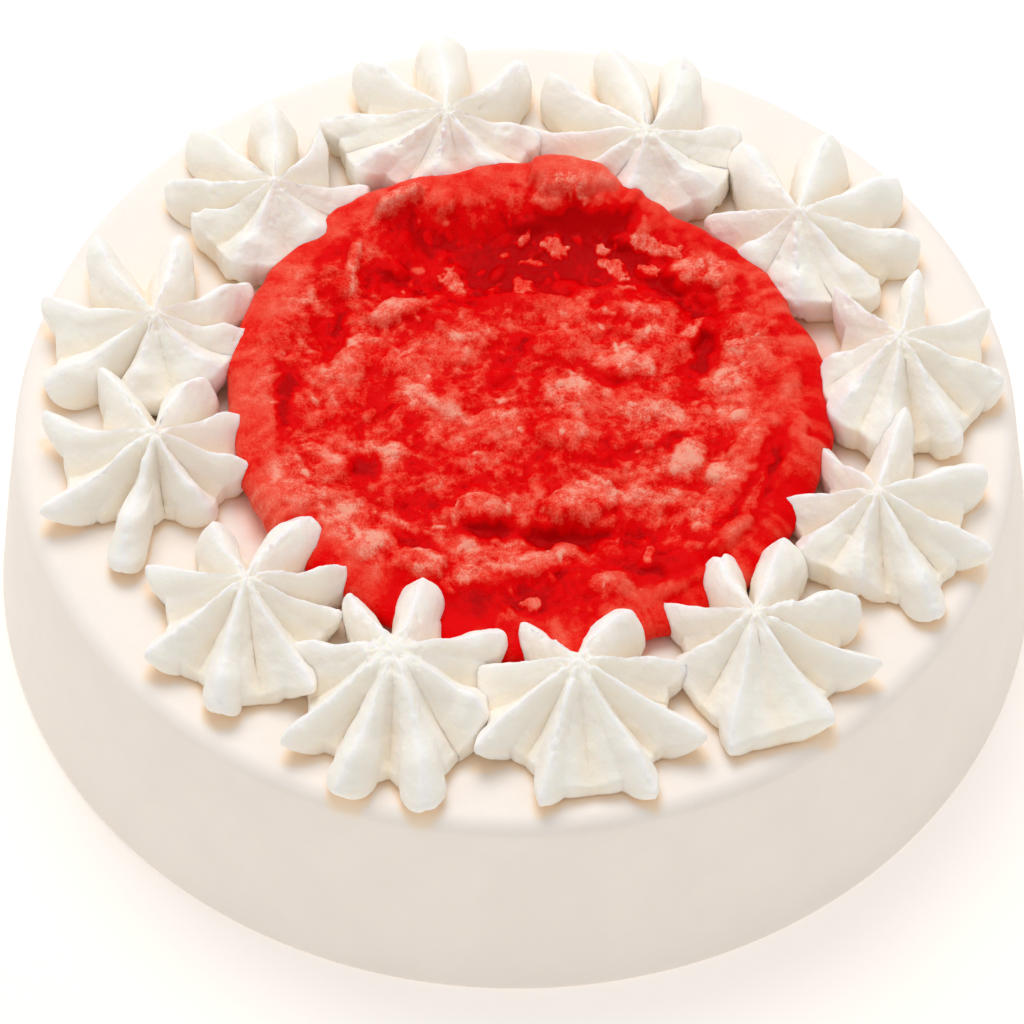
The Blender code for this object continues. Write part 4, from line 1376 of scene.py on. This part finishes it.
def make_world(strength, tint):
    world = bpy.data.worlds.new("even_light")
    world.use_nodes = True
    background = world.node_tree.nodes["Background"]
    background.inputs["Color"].default_value = with_alpha(tint)
    background.inputs["Strength"].default_value = strength
    bpy.context.scene.world = world


def make_camera(settings):
    """A long lens that looks down on the front of the cake."""
    data = bpy.data.cameras.new("camera")
    data.sensor_width = SENSOR_WIDTH
    data.lens = settings.lens
    data.clip_start, data.clip_end = CLIP_RANGE
    camera = bpy.data.objects.new("camera", data)
    back = Vector((0, -math.cos(settings.elevation), math.sin(settings.elevation)))
    upward = Vector((0, math.sin(settings.elevation), math.cos(settings.elevation)))
    target = CAMERA_AIM + Vector((CAMERA_SIDE_AIM, 0, 0)) + upward * CAMERA_UP_AIM
    point_at(camera, target + back * settings.distance, target)
    bpy.context.scene.collection.objects.link(camera)
    bpy.context.scene.camera = camera


# --- Operators and panel -------------------------------------------------------------


class CAKE_OT_coat(bpy.types.Operator):
    """Makes the cake under its smooth coat of cream"""

    bl_idname = "cake.coat"
    bl_label = "Coat of cream"

    def execute(self, context):
        make_coat(context.scene.cake_coat)
        return {"FINISHED"}


class CAKE_OT_rosettes(bpy.types.Operator):
    """Makes the ring of piped rosettes"""

    bl_idname = "cake.rosettes"
    bl_label = "Piped rosettes"

    def execute(self, context):
        settings = context.scene.cake_rosettes
        juice = context.scene.cake_coat.juice
        material = cream_material(
            "piped_cream_shown", settings.cream, settings.crease, juice,
            grain_size=0.6 * MM, stain_and_shade_strength=0.05, milkiness=0.65, bump_depth=0.13 * MM,
        )
        for number in range(1, len(ROSETTES) + 1):
            make_rosette(number, material, settings)
        return {"FINISHED"}


class CAKE_OT_compote(bpy.types.Operator):
    """Makes the pool of strawberry compote"""

    bl_idname = "cake.compote"
    bl_label = "Strawberry compote"

    def execute(self, context):
        make_compote(context.scene.cake_compote)
        return {"FINISHED"}


class CAKE_OT_studio(bpy.types.Operator):
    """Makes the floor, the lights and the camera"""

    bl_idname = "cake.studio"
    bl_label = "Studio"

    def execute(self, context):
        settings = context.scene.cake_studio
        bpy.context.scene.view_settings.view_transform = "Standard"
        make_floor(settings)
        make_world(settings.sky, settings.daylight)
        make_light(
            "overhead_light", OVERHEAD_PLACE, OVERHEAD_SIZE, settings.key, settings.daylight
        )
        make_camera(settings)
        return {"FINISHED"}


class CAKE_PT_panel(bpy.types.Panel):
    """Lists the parts of the cake"""

    bl_idname = "CAKE_PT_panel"
    bl_label = "Strawberry cake"
    bl_space_type = "VIEW_3D"
    bl_region_type = "UI"
    bl_category = "Cake"

    def draw(self, context):
        for operator, settings in PARTS:
            box = self.layout.box()
            box.operator(operator.bl_idname)
            group = getattr(context.scene, settings)
            for name in group.__annotations__:
                box.prop(group, name)


PARTS = (
    (CAKE_OT_coat, "cake_coat"),
    (CAKE_OT_rosettes, "cake_rosettes"),
    (CAKE_OT_compote, "cake_compote"),
    (CAKE_OT_studio, "cake_studio"),
)
SETTINGS = {
    "cake_coat": CakeCoat,
    "cake_rosettes": CakeRosettes,
    "cake_compote": CakeCompote,
    "cake_studio": CakeStudio,
}
CLASSES = (*SETTINGS.values(), *(operator for operator, _ in PARTS), CAKE_PT_panel)


def register():
    for each in CLASSES:
        bpy.utils.register_class(each)
    for name, group in SETTINGS.items():
        setattr(bpy.types.Scene, name, PointerProperty(type=group))


def unregister():
    for name in SETTINGS:
        delattr(bpy.types.Scene, name)
    for each in reversed(CLASSES):
        bpy.utils.unregister_class(each)


def main():
    register()
    bpy.ops.cake.coat()
    bpy.ops.cake.rosettes()
    bpy.ops.cake.compote()
    bpy.ops.cake.studio()


if __name__ == "__main__":
    main()
